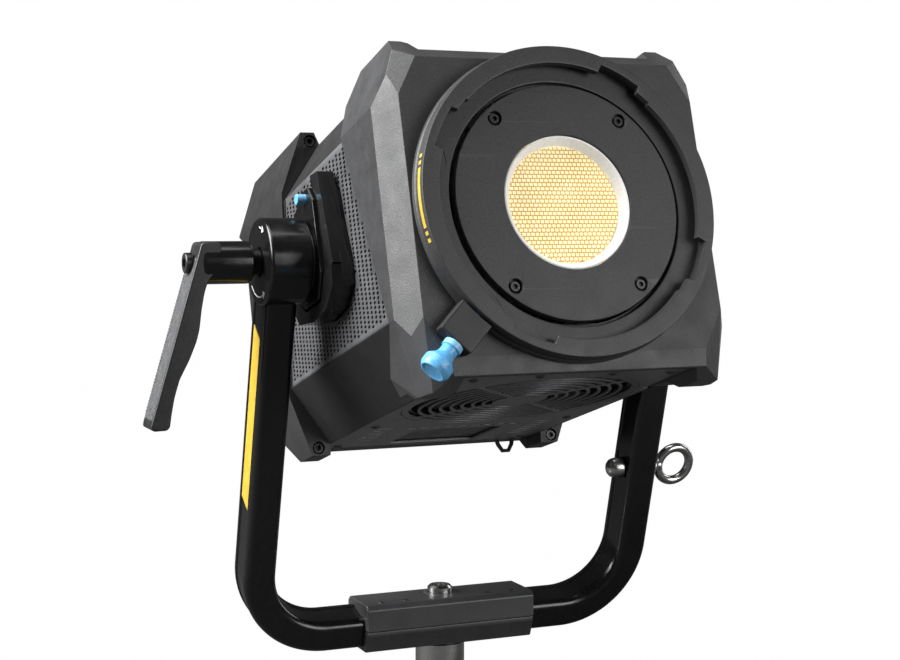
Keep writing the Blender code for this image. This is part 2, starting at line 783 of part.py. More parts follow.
def body_shell():
    """Octagonal middle casing, open below for the underside panel and at the sides for the mesh."""
    outline = octagon(BODY_HALF, BODY_TOP, 67 * MM, 52 * MM)
    shell = prism("body_shell", [outline], "XZ", -100 * MM, 110 * MM, head_frame, CHARCOAL)
    inside = prism("shell_inside", [INNER_OCTAGON], "XZ", -120 * MM, 120 * MM, head_frame)
    rim = shifted([RIM_LOW, RIM_HIGH], -GAP)
    side_view = shifted(SHELL_SEAM[::-1], GAP) + [rim[1], rim[0]]
    limit = prism("shell_limit", [side_view], "YZ", -100 * MM, 100 * MM, head_frame)
    panel_gap = box("shell_panel_gap", mm(-66.4, -120, -90), mm(66.4, 120, -78), head_frame)
    windows = prism("mesh_windows", [mesh_window(0.3)], "YZ", -100 * MM, 100 * MM, head_frame)
    boolean(shell, limit, "INTERSECT")
    cut(shell, inside, panel_gap, windows)


def side_mesh(tag, side):
    """Perforated side panel, set in the casing and cut out around the receiver."""
    panel = wall(
        side, "side_mesh_" + tag, [mesh_window(0)], 86.6 * MM, 88.1 * MM, head_frame, DARK_METAL,
    )
    grown = [
        (y * 1.012 + (GAP if y > 0 else -GAP), z * 1.012 + (GAP if z > 0 else -GAP))
        for y, z in RECEIVER_OUTLINE
    ]
    cut(panel, wall(side, "mesh_cutout_" + tag, [grown], 80 * MM, 95 * MM, head_frame))


def rear_cover():
    """Rear housing: squarer corners than the middle casing, bumpers behind, and a recessed panel."""
    rear = points((150, 92.5), (152, 56), (142, 50), (142, -46), (150, -53), (108, -93.4))
    side_view = shifted([RIM_LOW, RIM_HIGH], GAP) + rear
    cover = prism(
        "rear_cover", [octagon(*mm(89.5, 91.0, 77, 57))], "XZ", 40 * MM, 160 * MM, head_frame,
        CHARCOAL,
    )
    limit = prism("cover_limit", [side_view], "YZ", -100 * MM, 100 * MM, head_frame)
    inside = prism("cover_inside", [INNER_OCTAGON], "XZ", 0, 132 * MM, head_frame)
    top_notch = prism(
        "cover_top_notch", [points((-72, 98), (72, 98), (66, 84.5), (-66, 84.5))], "XZ", 0, 170 * MM,
        head_frame,
    )
    lug_gap = points(
        (-100, -98), (100, -98), (100, -89.7), (66.6, -89.7), (66, -83.8), (-66, -83.8), (
            -66.6, -89.7,
        ), (-100, -89.7)
    )
    low_notch = prism("cover_low_notch", [lug_gap], "XZ", 0, 170 * MM, head_frame)
    mid_notch = box("bumper_gap", mm(-64, 142, -60), mm(64, 170, 100), head_frame)
    panel_gap = box("cover_panel_gap", mm(-66.4, 0, -90), mm(66.4, 107, -78), head_frame)
    recess = box("control_recess", mm(-60, 136, -38), mm(60, 150, 44), head_frame)
    boolean(cover, limit, "INTERSECT")
    cut(cover, inside, top_notch, low_notch, mid_notch, panel_gap, recess, *control_holes("cover"))
    for tag, side in SIDES:
        for level, x, z in (("upper", 71.5, 86.2), ("lower", 73.5, -85.4)):
            rim = 72.5 * MM - RIM_SLOPE * z * MM
            at_x, at_z = side * x * MM, z * MM
            pocket_start = (at_x, rim - 6 * MM, at_z)
            name = f"rear_screw_{level}_{tag}"
            pocket = cylinder(
                name + "_pocket", 3.6 * MM, pocket_start, 11 * MM, "Y", head_frame, sides=24,
            )
            bore = cylinder(
                name + "_bore", 1.9 * MM, (at_x, rim, at_z), 19 * MM, "Y", head_frame, sides=16,
            )
            cut(cover, pocket, bore)
            socket_screw(name, (at_x, rim + MM, at_z), 3.1 * MM, 3.4 * MM, 1.6 * MM, 11 * MM)


def control_holes(tag):
    """Cutters for the menu button and the power switch, through the panel and the cover's wall."""
    button_start = (BUTTON_AT[0], RECESS_FLOOR - 5 * MM, BUTTON_AT[1])
    button = cylinder(f"button_hole_{tag}", 3.8 * MM, button_start, 9 * MM, "Y", head_frame, sides=24)
    x, z = SWITCH_AT
    low = (x - 10.4 * MM, RECESS_FLOOR - 5 * MM, z - 5.4 * MM)
    high = (x + 10.4 * MM, RECESS_FLOOR + 4 * MM, z + 5.4 * MM)
    return button, box(f"switch_hole_{tag}", low, high, head_frame)


def socket_screw(name, head_at, head_radius, head_length, radius, length):
    """A socket-head screw along +Y: head_at is the middle of its outer face."""
    profile = [
        (0, 0),
        (head_radius - 0.4 * MM, 0),
        (head_radius, -0.4 * MM),
        (head_radius, -head_length),
        (radius, -head_length),
        (radius, -head_length - length),
        (0, -head_length - length),
    ]
    screw = turned(
        name, profile, head_frame, BLACK_STEEL, location=head_at, rotation=(math.pi / 2, 0, 0),
        sides=12,
    )
    start = (head_at[0], head_at[1] - MM, head_at[2])
    socket = cylinder(name + "_socket", head_radius * 0.5, start, 2.8 * MM, "Y", head_frame, sides=6)
    cut(screw, socket)


def underside_panel():
    """Sheet-metal floor with the fan opening, a row of vent slots and an accessory bay."""
    outline = points(
        (-62, -98.2), (62, -98.2), (62, -46), (66, -46), (66, 106.6), (-66, 106.6), (-66, -46),
        (-62, -46),
    )
    holes = [circle((0, FAN_Y), FAN_RADIUS + GAP, 48)]
    for i in range(9):
        x = (i - 4) * 7.8 * MM
        holes.append(
            [(x + dx, 49 * MM + dy) for dx, dy in rounded_rectangle(2.9 * MM, 1.2 * MM, 1.1 * MM, 2)]
        )
    bay = points((-27, 56), (27, 56), (27, 101), (-27, 101))
    prism(
        "underside_panel", [outline, *holes, bay], "XY", -83.5 * MM, -82 * MM, head_frame, DARK_METAL,
    )
    cover = box("bay_cover", mm(-28.5, 54.5, -81.7), mm(28.5, 102.5, -79.7), head_frame, GLOSS_BLACK)
    return cover


def sector(centre, inner, outer, start, end, steps):
    low = arc(centre, inner, end, start, steps)
    return arc(centre, outer, start, end, steps) + low


def fan_guard():
    """Round grille of concentric rings on six ribs, set in the underside panel."""
    centre = (0, FAN_Y)
    holes = []
    ring_count = 5
    inner = 15 * MM
    pitch = (57.5 * MM - inner) / ring_count
    for ring in range(ring_count):
        near = inner + ring * pitch
        far = near + pitch - 2.0 * MM
        for rib in range(6):
            trim = math.degrees(1.2 * MM / ((near + far) / 2))
            start = 30 + 60 * rib + trim
            holes.append(sector(centre, near, far, start, start + 60 - 2 * trim, 3))
    prism(
        "fan_guard", [circle(centre, FAN_RADIUS, 48), *holes], "XY", -83.3 * MM, -82 * MM, head_frame,
        DARK_METAL,
    )


def fan():
    """Axial fan that blows up through the heat sink."""
    centre = (0, FAN_Y)
    square = [(x, y + FAN_Y) for x, y in rounded_rectangle(60 * MM, 60 * MM, 4 * MM, 3)]
    frame_low, frame_high = mm(-81.5, -56.5)
    prism(
        "fan_frame", [square, circle(centre, 57 * MM, 40)], "XY", frame_low, frame_high, head_frame,
        BLACK_STEEL,
    )
    blade_count = 7
    outline = []
    for blade in range(blade_count):
        angle = blade * 360 / blade_count
        root, tip = 20 * MM, 54 * MM
        outline += [
            polar(centre, root, angle),
            polar(centre, root + 12 * MM, angle + 6),
            polar(centre, tip, angle + 20),
            polar(centre, tip, angle + 46),
            polar(centre, root + 12 * MM, angle + 22),
            polar(centre, root, angle + 20),
        ]
    # the origin sits on the spin axis
    local = [(x, y - FAN_Y) for x, y in outline]
    rotor = prism("fan_rotor", [local], "XY", -9 * MM, 9 * MM, head_frame, GLOSS_BLACK)
    rotor.location = (0, FAN_Y, -69 * MM)


def polar(centre, radius, degrees):
    angle = math.radians(degrees)
    return (centre[0] + radius * math.cos(angle), centre[1] + radius * math.sin(angle))


# ---------------------------------------------------------------- optics and accessory ring


def front_facing(name, profile, material, sides=48):
    """A piece turned about the beam axis; heights in its profile are distances ahead of the tilt axis."""
    return turned(name, profile, head_frame, material, rotation=(math.pi / 2, 0, 0), sides=sides)


def ahead(y):
    return -y * MM


def light_engine():
    """Emitter board on its carrier and heat sink, with the white reflector ring in front."""
    board = box("led_cob", mm(-36, -99.9, -36), mm(36, -97.9, 36), head_frame, PHOSPHOR)
    emitter = cylinder(
        "emitter", EMITTER_RADIUS - 0.4 * MM, mm(0, -103.0, 0), 4 * MM, "Y", head_frame, sides=40,
    )
    join(board, emitter)
    box("led_carrier", mm(-44, -97.6, -42), mm(44, -94, 42), head_frame, ALUMINIUM)
    front_facing(
        "reflector_ring",
        [
            (WINDOW_RADIUS - 1.2 * MM, ahead(-107.4)),
            (WINDOW_RADIUS, ahead(-107.4)),
            (WINDOW_RADIUS, ahead(-100.2)),
            (EMITTER_RADIUS, ahead(-100.2)),
            (EMITTER_RADIUS, ahead(-103.2)),
        ],
        WHITE,
    )
    fin_count = 15
    pitch = 7.8 * MM
    fin = 2.0 * MM
    half = (fin_count - 1) / 2 * pitch + fin / 2
    base, root, tip = mm(-93.7, -86, 30)
    comb = [(-half, base), (half, base)]
    for i in range(fin_count):
        right = half - i * pitch
        comb += [(right, tip), (right - fin, tip)]
        if i < fin_count - 1:
            comb += [(right - fin, root), (right - pitch, root)]
    prism("heat_sink", [comb], "XY", -50 * MM, 72 * MM, head_frame, ALUMINIUM)


def front_plate():
    profile = [
        (WINDOW_RADIUS + GAP, ahead(-107.9)),
        (PLATE_RADIUS - 0.5 * MM, ahead(-107.9)),
        (PLATE_RADIUS, ahead(-107.4)),
        (PLATE_RADIUS, ahead(-103.2)),
        (WINDOW_RADIUS + GAP, ahead(-103.2)),
    ]
    plate = front_facing("front_plate", profile, CHARCOAL)
    for tag, side in SIDES:
        for level, up in (("upper", 1), ("lower", -1)):
            at = (side * SCREW_X, PLATE_FRONT, up * SCREW_Z)
            pocket = cylinder(
                f"plate_pocket_{level}_{tag}", 3.7 * MM, (
                    at[0], at[1] - MM, at[2],
                ), 3.6 * MM, "Y", head_frame, sides=20
            )
            bore = cylinder(
                f"plate_bore_{level}_{tag}", 1.8 * MM, (
                    at[0], at[1] - MM, at[2],
                ), 9 * MM, "Y", head_frame, sides=16
            )
            cut(plate, pocket, bore)
            head_at = (at[0], at[1] + 0.5 * MM, at[2])
            socket_screw(
                f"front_screw_{level}_{tag}", head_at, 2.7 * MM, 1.8 * MM, 1.5 * MM, 3.6 * MM,
            )


def mount_ring():
    """Bayonet ring: claws with four entry slots over a groove, and a floor around the front plate."""
    profile = [
        (69.7 * MM, ahead(-113.0)),
        (RING_RADIUS - 0.7 * MM, ahead(-113.0)),
        (RING_RADIUS, ahead(-112.3)),
        (79.2 * MM, ahead(-106.0)),
        (RING_BASE_RADIUS, ahead(-105.2)),
        (RING_BASE_RADIUS, ahead(-102.6)),
        (62.2 * MM, ahead(-102.6)),
        (62.2 * MM, ahead(-105.9)),
        (74.2 * MM, ahead(-105.9)),
        (74.2 * MM, ahead(-109.3)),
        (69.7 * MM, ahead(-109.3)),
    ]
    ring = front_facing("mount_ring", profile, CHARCOAL, sides=56)
    for i, degrees in enumerate((29, 116, 204, 299)):
        slot = box(f"entry_slot_{i}", mm(-10, -116, 64), mm(10, -109.0, 74), head_frame)
        slot.location = (
            69 * MM * math.sin(math.radians(degrees)),
            -112.5 * MM,
            69 * MM * math.cos(math.radians(degrees)),
        )
        slot.rotation_euler = (0, math.radians(degrees), 0)
        cut(ring, slot)
    cut(ring, diagonal("ring_pin_hole", 2.4 * MM, 68, 84))


LOCK_TURN = (0, math.radians(225), 0)


def diagonal(name, radius, near, far, material=None, sides=24):
    """A cylinder along the lock pin's line, which runs down and to the left across the beam axis."""
    angle = math.radians(45)
    start = (-near * MM * math.sin(angle), LOCK_HEIGHT, -near * MM * math.cos(angle))
    obj = cylinder(name, radius, start, (far - near) * MM, "Z", head_frame, material, sides)
    obj.rotation_euler = LOCK_TURN
    return obj


def lock_block(name, low, high, material=None):
    """A block in the lock's frame: x across, y along the beam and z outward along the pin."""
    obj = box(name, mm(*low), mm(*high), head_frame, material)
    middle = [(a + b) / 2 * MM for a, b in zip(low, high)]
    angle = LOCK_TURN[1]
    obj.location = (
        middle[0] * math.cos(angle) + middle[2] * math.sin(angle),
        middle[1],
        middle[2] * math.cos(angle) - middle[0] * math.sin(angle),
    )
    obj.rotation_euler = LOCK_TURN
    return obj


def accessory_lock():
    """Sprung pull pin that locks a fitted accessory in the ring."""
    housing = lock_block("lock_housing", (-8.4, -111, 76), (10.6, -102.6, 97.6), CHARCOAL)
    bevel(housing, 1.2 * MM)
    cut(
        housing,
        cylinder(
            "housing_ring_clearance", 80.3 * MM, mm(0, -115, 0), 20 * MM, "Y", head_frame, sides=64,
        ),
        diagonal("housing_spring_bore", 3.9 * MM, 83, 95.4),
        diagonal("housing_pin_bore", 2.4 * MM, 70, 100),
    )
    angle = math.radians(45)
    pin_profile = [
        (0, 115.8 * MM),
        (4.4 * MM, 115.3 * MM),
        (7.3 * MM, 113.2 * MM),
        (7.7 * MM, 111.2 * MM),
        (7.2 * MM, 109.0 * MM),
        (4.8 * MM, 106.0 * MM),
        (4.2 * MM, 104.6 * MM),
        (4.2 * MM, 98.0 * MM),
        (2.0 * MM, 98.0 * MM),
        (2.0 * MM, 71.5 * MM),
        (1.2 * MM, 70.7 * MM),
        (0, 70.7 * MM),
    ]
    pin = turned("lock_pin", pin_profile, head_frame, BLUE, location=(0, LOCK_HEIGHT, 0), sides=20)
    pin.rotation_euler = LOCK_TURN
    turns = 5
    steps = 8
    start, end = mm(83.6, 94.8)
    helix = []
    for i in range(turns * steps + 1):
        share = i / (turns * steps)
        turn = 2 * math.pi * turns * share
        helix.append(
            (3.0 * MM * math.cos(turn), 3.0 * MM * math.sin(turn), start + 0.5 * MM + (end - start - MM) * share),
        )
    spring = wire("lock_spring", helix, 0.45 * MM, head_frame, STEEL, location=(0, LOCK_HEIGHT, 0))
    spring.rotation_euler = (0, math.pi + angle, 0)


# ---------------------------------------------------------------- inside and rear


def controls():
    """Driver board inside, and the operating panel in the rear recess."""
    board = box("driver_board", mm(-58, 112, -50), mm(58, 113.6, 50), head_frame, BOARD)
    choke = box("driver_choke", mm(-40, 92, -30), mm(-5, 112.5, 5), head_frame)
    caps = box("driver_capacitors", mm(8, 96, -34), mm(46, 112.5, -10), head_frame)
    join(board, choke, caps)
    front, back = RECESS_FLOOR + GAP, RECESS_FLOOR + 2.3 * MM
    stem_x, stem_z = KNOB_AT
    panel = box(
        "control_panel", (-59.5 * MM, front, -37.5 * MM), (59.5 * MM, back, 43.5 * MM), head_frame,
        GLOSS_BLACK,
    )
    screen = box(
        "screen_recess", (-48 * MM, back - 0.8 * MM, 0), (16 * MM, back + MM, 34 * MM), head_frame,
    )
    knob_stem = cylinder(
        "knob_stem_hole", 3.3 * MM, (stem_x, front - MM, stem_z), 6 * MM, "Y", head_frame, sides=24,
    )
    cut(panel, screen, knob_stem, *control_holes("panel"))
    knob_profile = [
        (0, 13 * MM), (7.4 * MM, 13 * MM), (8.4 * MM, 12 * MM), (9.0 * MM, 3 * MM), (3.0 * MM, 3 * MM), (
            3.0 * MM, 0.5 * MM,
        ), (0, 0.5 * MM)
    ]
    turned(
        "dimmer_knob", knob_profile, head_frame, GLOSS_BLACK,
        location=(stem_x, front - GAP, stem_z), rotation=(-math.pi / 2, 0, 0), sides=24,
    )
    button_at = (BUTTON_AT[0], RECESS_FLOOR - 3 * MM, BUTTON_AT[1])
    cylinder("menu_button", 3.4 * MM, button_at, 7.6 * MM, "Y", head_frame, WHITE, sides=24)
    rocker = points((-9.4, -1.6), (-9.4, 3.6), (0, 1.8), (9.4, 1.6), (9.4, -1.6))
    switch = prism("power_switch", [rocker], "XY", -5 * MM, 5 * MM, head_frame, BLACK_STEEL)
    switch.location = (SWITCH_AT[0], RECESS_FLOOR + 1.2 * MM, SWITCH_AT[1])
    inlet_profile = [
        (0, 4 * MM), (7.5 * MM, 4 * MM), (7.5 * MM, 10.5 * MM), (
            10.5 * MM, 10.5 * MM,
        ), (10.5 * MM, 2 * MM), (13.5 * MM, 2 * MM), (13.5 * MM, 0), (0, 0)
    ]
    turned(
        "power_inlet", inlet_profile, head_frame, ALUMINIUM,
        location=(-34 * MM, back + GAP, -20 * MM), rotation=(-math.pi / 2, 0, 0), sides=24,
    )


def safety_loop():
    """Small wire loop under the rear cover for a safety cord."""
    route = points(
        (48, 112, -84.2), (48.6, 112, -86.4), (51, 112, -90.2), (55, 112, -90.2), (57.4, 112, -86.4),
        (58, 112, -84.2),
    )
    wire("safety_loop", route, 1.3 * MM, head_frame, BLACK_STEEL)


def build():
    yoke_tube()
    bracket()
    spigot()
    eyebolt()
    for tag, side in SIDES:
        knuckle(tag, side)
        tilt_shaft(tag, side)
        side_mount(tag, side)
        side_mesh(tag, side)
    tilt_lever()
    pivot_cap()
    front_bezel()
    body_shell()
    rear_cover()
    underside_panel()
    fan_guard()
    fan()
    light_engine()
    front_plate()
    mount_ring()
    accessory_lock()
    controls()
    safety_loop()


build()
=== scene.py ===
"""Looks for the studio spotlight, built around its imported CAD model.

Lengths in the shape code are millimetres. Pieces are made in one of four frames: the part frame, and
the head, yoke and tilt frames, whose origins lie on the tilt axis."""

import json
import math

import bmesh
import bpy
from mathutils import Matrix, Vector

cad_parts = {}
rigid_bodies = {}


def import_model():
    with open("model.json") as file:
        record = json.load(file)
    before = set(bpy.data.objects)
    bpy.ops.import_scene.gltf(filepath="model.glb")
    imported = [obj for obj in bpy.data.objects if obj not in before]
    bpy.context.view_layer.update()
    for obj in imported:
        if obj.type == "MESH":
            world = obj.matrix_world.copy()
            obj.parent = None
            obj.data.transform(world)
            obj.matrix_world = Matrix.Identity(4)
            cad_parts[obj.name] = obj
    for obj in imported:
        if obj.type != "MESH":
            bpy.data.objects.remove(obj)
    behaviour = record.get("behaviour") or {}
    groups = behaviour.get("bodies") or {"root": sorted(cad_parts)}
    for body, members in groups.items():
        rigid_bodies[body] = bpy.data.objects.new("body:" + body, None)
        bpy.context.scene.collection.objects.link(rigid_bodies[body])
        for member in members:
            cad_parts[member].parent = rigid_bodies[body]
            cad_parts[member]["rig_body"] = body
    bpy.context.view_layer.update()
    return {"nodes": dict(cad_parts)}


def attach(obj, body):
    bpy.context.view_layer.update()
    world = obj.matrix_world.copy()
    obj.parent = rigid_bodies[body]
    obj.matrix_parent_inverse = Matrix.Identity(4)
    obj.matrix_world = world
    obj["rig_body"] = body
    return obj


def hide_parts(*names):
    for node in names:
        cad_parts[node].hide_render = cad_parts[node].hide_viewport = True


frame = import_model()

SCALE = Matrix.Scale(0.001, 4)
TILT_POINT = Matrix.Translation((0, -0.0585, 0.302))
PART = Matrix.Identity(4)
TILT = TILT_POINT
HEAD = TILT_POINT @ Matrix.Rotation(math.radians(-16.7), 4, "X")
YOKE = TILT_POINT @ Matrix.Rotation(math.radians(15.2), 4, "X")
FORWARD = Matrix.Rotation(math.radians(90), 4, "X")
LEFT = Matrix.Rotation(math.radians(-90), 4, "Y")
RIGHT = Matrix.Rotation(math.radians(90), 4, "Y")

SIDES = (("left", -1), ("right", 1))

# Bayonet ring: the four entry slots in degrees clockwise from the top, and the shape of their ends.
ENTRIES = (29, 116, 204, 299)
ENTRY_RADIUS, CLAW_RADIUS = 74.1, 69.7
ENTRY_HALF, ENTRY_END, STEP_END = 8.6, 9.4, 16
ENTRY_RAMP, ENTRY_DROP, STEP_DEPTH = 0.8, 3.2, 1.1
LOCK_TURN = math.radians(225)

# Front plate and underside.
SCREW_X, SCREW_Z = 34.2, 42.1
FAN_Y = -26
UNDERSIDE_SCREWS = (
    (-54, -90), (54, -90), (-20, -93), (20, -93), (-58, 36), (58, 36), (-58, 100), (58, 100),
)

# Side mesh: pitch of the holes, their half sizes, and the plain margin around them.
MESH_PITCH_Y, MESH_PITCH_Z = 5.4, 2.4
HOLE_HALF_Y, HOLE_HALF_Z = 1.7, 0.9
MESH_MARGIN = 2.6

# Yoke, barrels, bracket and spigot.
ARM_X, ARM_HALF, ARM_BEND, ARM_DROP, ARM_TOP = 115.75, 9.0, 42.0, 218.0, -14.0
EYE_Z, EYE_RADIUS = -130, 10.6
BARREL_INNER, BARREL_OUTER, BARREL_RADIUS = 103.5, 126.1, 22.85
BRACKET_HALF = 52
SPIGOT_RADIUS = 14.3

CAMERA_PLACE = (-0.37899, -0.89555, 0.3272)
CAMERA_AZIMUTH, CAMERA_ELEVATION = math.radians(-23.29), math.radians(3.97)
CAMERA_LENS, CAMERA_SENSOR = 67.29, 36

# Name, azimuth, elevation, distance, width, height and power of each soft light.
LIGHTS = (
    ("left_box", 100, 34, 1.6, 1.1, 1.5, 84),
    ("front_box", -33, 9, 1.9, 1.2, 1.0, 19),
    ("top_box", 60, 78, 1.5, 1.1, 1.1, 12),
    ("right_strip", -105, 10, 1.7, 0.4, 1.4, 6),
)

# ---------------------------------------------------------------- materials


class Nodes:
    """Short names for the few node types that the materials use."""

    def __init__(self, name):
        self.material = bpy.data.materials.new(name)
        self.material.use_nodes = True
        self.tree = self.material.node_tree
        self.shader = self.tree.nodes["Principled BSDF"]
        self.place = self.tree.nodes.new("ShaderNodeTexCoord").outputs["Object"]

    def link(self, source, target):
        self.tree.links.new(source, target)

    def add(self, kind, **values):
        node = self.tree.nodes.new(kind)
        for key, value in values.items():
            if hasattr(node, key):
                setattr(node, key, value)
            else:
                node.inputs[key.replace("_", " ").title()].default_value = value
        return node

    def noise(self, scale, detail=4.0, stretch=None):
        node = self.add("ShaderNodeTexNoise", scale=scale, detail=detail)
        source = self.place
        if stretch:
            mapping = self.add("ShaderNodeMapping", scale=stretch)
            self.link(self.place, mapping.inputs["Vector"])
            source = mapping.outputs["Vector"]
        self.link(source, node.inputs["Vector"])
        return node.outputs["Fac"]

    def ramp(self, source, *stops):
        node = self.tree.nodes.new("ShaderNodeValToRGB")
        band = node.color_ramp
        while len(band.elements) < len(stops):
            band.elements.new(0.5)
        for element, (position, colour) in zip(band.elements, stops):
            element.position = position
            element.color = (*colour, 1.0)
        self.link(source, node.inputs["Fac"])
        return node.outputs["Color"]

    def spread(self, source, low, high, start=0.3, end=0.7):
        node = self.add("ShaderNodeMapRange")
        for socket, value in zip(("From Min", "From Max", "To Min", "To Max"), (start, end, low, high)):
            node.inputs[socket].default_value = value
        self.link(source, node.inputs["Value"])
        return node.outputs["Result"]

    def mix(self, factor, first, second, blend="MIX"):
        node = self.tree.nodes.new("ShaderNodeMix")
        node.data_type = "RGBA"
        node.blend_type = blend
        for i, value in ((0, factor), (6, first), (7, second)):
            self.feed(node.inputs[i], value)
        return node.outputs[2]

    def feed(self, socket, value):
        """Links a socket to another's output, or sets it to a number or a colour."""
        if hasattr(value, "links"):
            self.link(value, socket)
        elif isinstance(value, tuple):
            socket.default_value = (*value, 1.0)
        else:
            socket.default_value = value

    def bump(self, source, strength, distance=0.0003):
        node = self.add("ShaderNodeBump", strength=strength, distance=distance)
        self.link(source, node.inputs["Height"])
        self.link(node.outputs["Normal"], self.shader.inputs["Normal"])

    def edges(self):
        """High where the surface is an outer edge; the mask of the painted edge highlight."""
        geometry = self.tree.nodes.new("ShaderNodeNewGeometry")
        return geometry.outputs["Pointiness"]


def surface(
    name, dark, light, rough, metallic=0.0, grain=1500, bump=0.12, spot=90, painted_edge_highlight=None, stretch=None,
):
    """A surface with fine grain, slow mottling, uneven roughness and, if given a painted edge highlight,
    outer edges painted paler as a highlight.
    """
    nodes = Nodes(name)
    fine = nodes.noise(grain, 5.0, stretch)
    slow = nodes.noise(spot, 3.0)
    colour = nodes.ramp(fine, (0.35, dark), (0.65, light))
    shade = nodes.ramp(slow, (0.3, (0.86, 0.86, 0.86)), (0.7, (1.0, 1.0, 1.0)))
    colour = nodes.mix(1.0, colour, shade, "MULTIPLY")
    if painted_edge_highlight:
        # Painted highlight: outer edges are mixed towards a paler colour, standing in for light caught on the
        # edges.
        edge_highlight_mask = nodes.spread(nodes.edges(), 0.0, 0.75, 0.53, 0.6)
        colour = nodes.mix(edge_highlight_mask, colour, painted_edge_highlight)
    nodes.link(colour, nodes.shader.inputs["Base Color"])
    nodes.link(nodes.spread(slow, rough - 0.06, rough + 0.06), nodes.shader.inputs["Roughness"])
    nodes.shader.inputs["Metallic"].default_value = metallic
    nodes.bump(fine, bump)
    return nodes.material


def grey(value):
    return (value, value * 1.01, value * 1.05)


CHARCOAL = surface(
    "charcoal_casting", grey(0.024), grey(0.042), 0.48, grain=1300, bump=0.35, painted_edge_highlight=grey(0.07),
)
CASING = surface("black_casing", grey(0.009), grey(0.015), 0.5, grain=1300, bump=0.3, painted_edge_highlight=grey(0.03))
GLOSS = surface("gloss_black", grey(0.004), grey(0.008), 0.2, grain=500, bump=0.03, painted_edge_highlight=grey(0.015))
SATIN = surface("satin_black", grey(0.014), grey(0.026), 0.36, grain=900, bump=0.12, painted_edge_highlight=grey(0.05))
RUBBED = surface("rubbed_handle", grey(0.05), grey(0.15), 0.4, grain=900, bump=0.5, spot=260)
BRACKET = surface("bracket_satin", grey(0.03), grey(0.05), 0.38, grain=1000, bump=0.12, painted_edge_highlight=grey(0.12))
SHEET = surface("grey_sheet", grey(0.13), grey(0.2), 0.42, 0.35, grain=1100, bump=0.15, painted_edge_highlight=grey(0.2))
MESH = surface("mesh_sheet", grey(0.085), grey(0.14), 0.38, 0.4, grain=1400, bump=0.1, painted_edge_highlight=grey(0.25))
STEEL = surface(
    "stainless_steel", (0.5, 0.5, 0.49), (0.68, 0.68, 0.67), 0.24, 1.0, 900, 0.06, stretch=(1, 1, 12),
)
BLACK_STEEL = surface(
    "black_steel", grey(0.012), grey(0.03), 0.33, 0.6, grain=800, bump=0.08, painted_edge_highlight=grey(0.12),
)
ALUMINIUM = surface(
    "aluminium", (0.5, 0.5, 0.51), (0.64, 0.64, 0.65), 0.4, 1.0, 700, 0.1, stretch=(1, 8, 1),
)
BRONZE = surface("bronze", (0.3, 0.17, 0.06), (0.5, 0.3, 0.12), 0.38, 1.0, 700, 0.08)
WHITE = surface(
    "white_reflector", (0.74, 0.74, 0.72), (0.84, 0.84, 0.82), 0.45, grain=600, bump=0.04, spot=60,
)
PAINT = surface("white_print", (0.6, 0.6, 0.6), (0.75, 0.75, 0.75), 0.5, grain=900, bump=0.05)
YELLOW = surface(
    "yellow_film", (0.55, 0.36, 0.03), (0.66, 0.45, 0.05), 0.45, grain=900, bump=0.05, spot=160,
)
BLUE = surface(
    "blue_anodised", (0.08, 0.36, 0.7), (0.16, 0.5, 0.86), 0.3, grain=900, bump=0.06,
    painted_edge_highlight=(0.4, 0.72, 0.92),
)
BOARD = surface("circuit_board", (0.012, 0.07, 0.03), (0.02, 0.11, 0.05), 0.45, grain=400, bump=0.1)
PLASTIC = surface("black_plastic", grey(0.011), grey(0.018), 0.42, grain=1200, bump=0.2, painted_edge_highlight=grey(0.03))


def chip_grid():
    """Emitter face: rows of small cream chips on an amber ground, lit from within."""
    nodes = Nodes("emitter_chips")
    mapping = nodes.tree.nodes.new("ShaderNodeMapping")
    mapping.inputs["Rotation"].default_value = (math.radians(16.7 - 90), 0, 0)
    nodes.link(nodes.place, mapping.inputs["Vector"])
    brick = nodes.tree.nodes.new("ShaderNodeTexBrick")
    brick.offset = 0.5
    brick.inputs["Scale"].default_value = 1.0
    brick.inputs["Brick Width"].default_value = 0.0024
    brick.inputs["Row Height"].default_value = 0.0021
    brick.inputs["Mortar Size"].default_value = 0.00032
    brick.inputs["Mortar Smooth"].default_value = 0.35
    brick.inputs["Color1"].default_value = (0.88, 0.82, 0.52, 1)
    brick.inputs["Color2"].default_value = (0.86, 0.76, 0.42, 1)
    brick.inputs["Mortar"].default_value = (0.46, 0.27, 0.07, 1)
    nodes.link(mapping.outputs["Vector"], brick.inputs["Vector"])
    patch = nodes.ramp(nodes.noise(70, 3.0), (0.3, (0.92, 0.88, 0.82)), (0.7, (1, 1, 1)))
    colour = nodes.mix(1.0, brick.outputs["Color"], patch, "MULTIPLY")
    nodes.link(colour, nodes.shader.inputs["Base Color"])
    nodes.link(colour, nodes.shader.inputs["Emission Color"])
    nodes.shader.inputs["Emission Strength"].default_value = 0.62
    nodes.shader.inputs["Roughness"].default_value = 0.6
    nodes.bump(brick.outputs["Fac"], -0.4)
    return nodes.material


CHIPS = chip_grid()
# Painted glow: the white reflector gets a faint emission so it reads brighter, though it is not a lamp.
WHITE.node_tree.nodes["Principled BSDF"].inputs["Emission Color"].default_value = (1.0, 0.97, 0.9, 1)
WHITE.node_tree.nodes["Principled BSDF"].inputs["Emission Strength"].default_value = 0.22

SLOT_OF = {
    CHARCOAL.name: "charcoal", CASING.name: "charcoal",
    GLOSS.name: "gloss_black", SATIN.name: "gloss_black",
    RUBBED.name: "gloss_black", BRACKET.name: "gloss_black",
    SHEET.name: "sheet", MESH.name: "sheet",
    STEEL.name: "steel", BLACK_STEEL.name: "black_steel", ALUMINIUM.name: "aluminium", BRONZE.name: "bronze",
    WHITE.name: "white", PAINT.name: "white", YELLOW.name: "white",
    BLUE.name: "blue", BOARD.name: "board", PLASTIC.name: "black_plastic", CHIPS.name: "phosphor",
}

# ---------------------------------------------------------------- shape tools


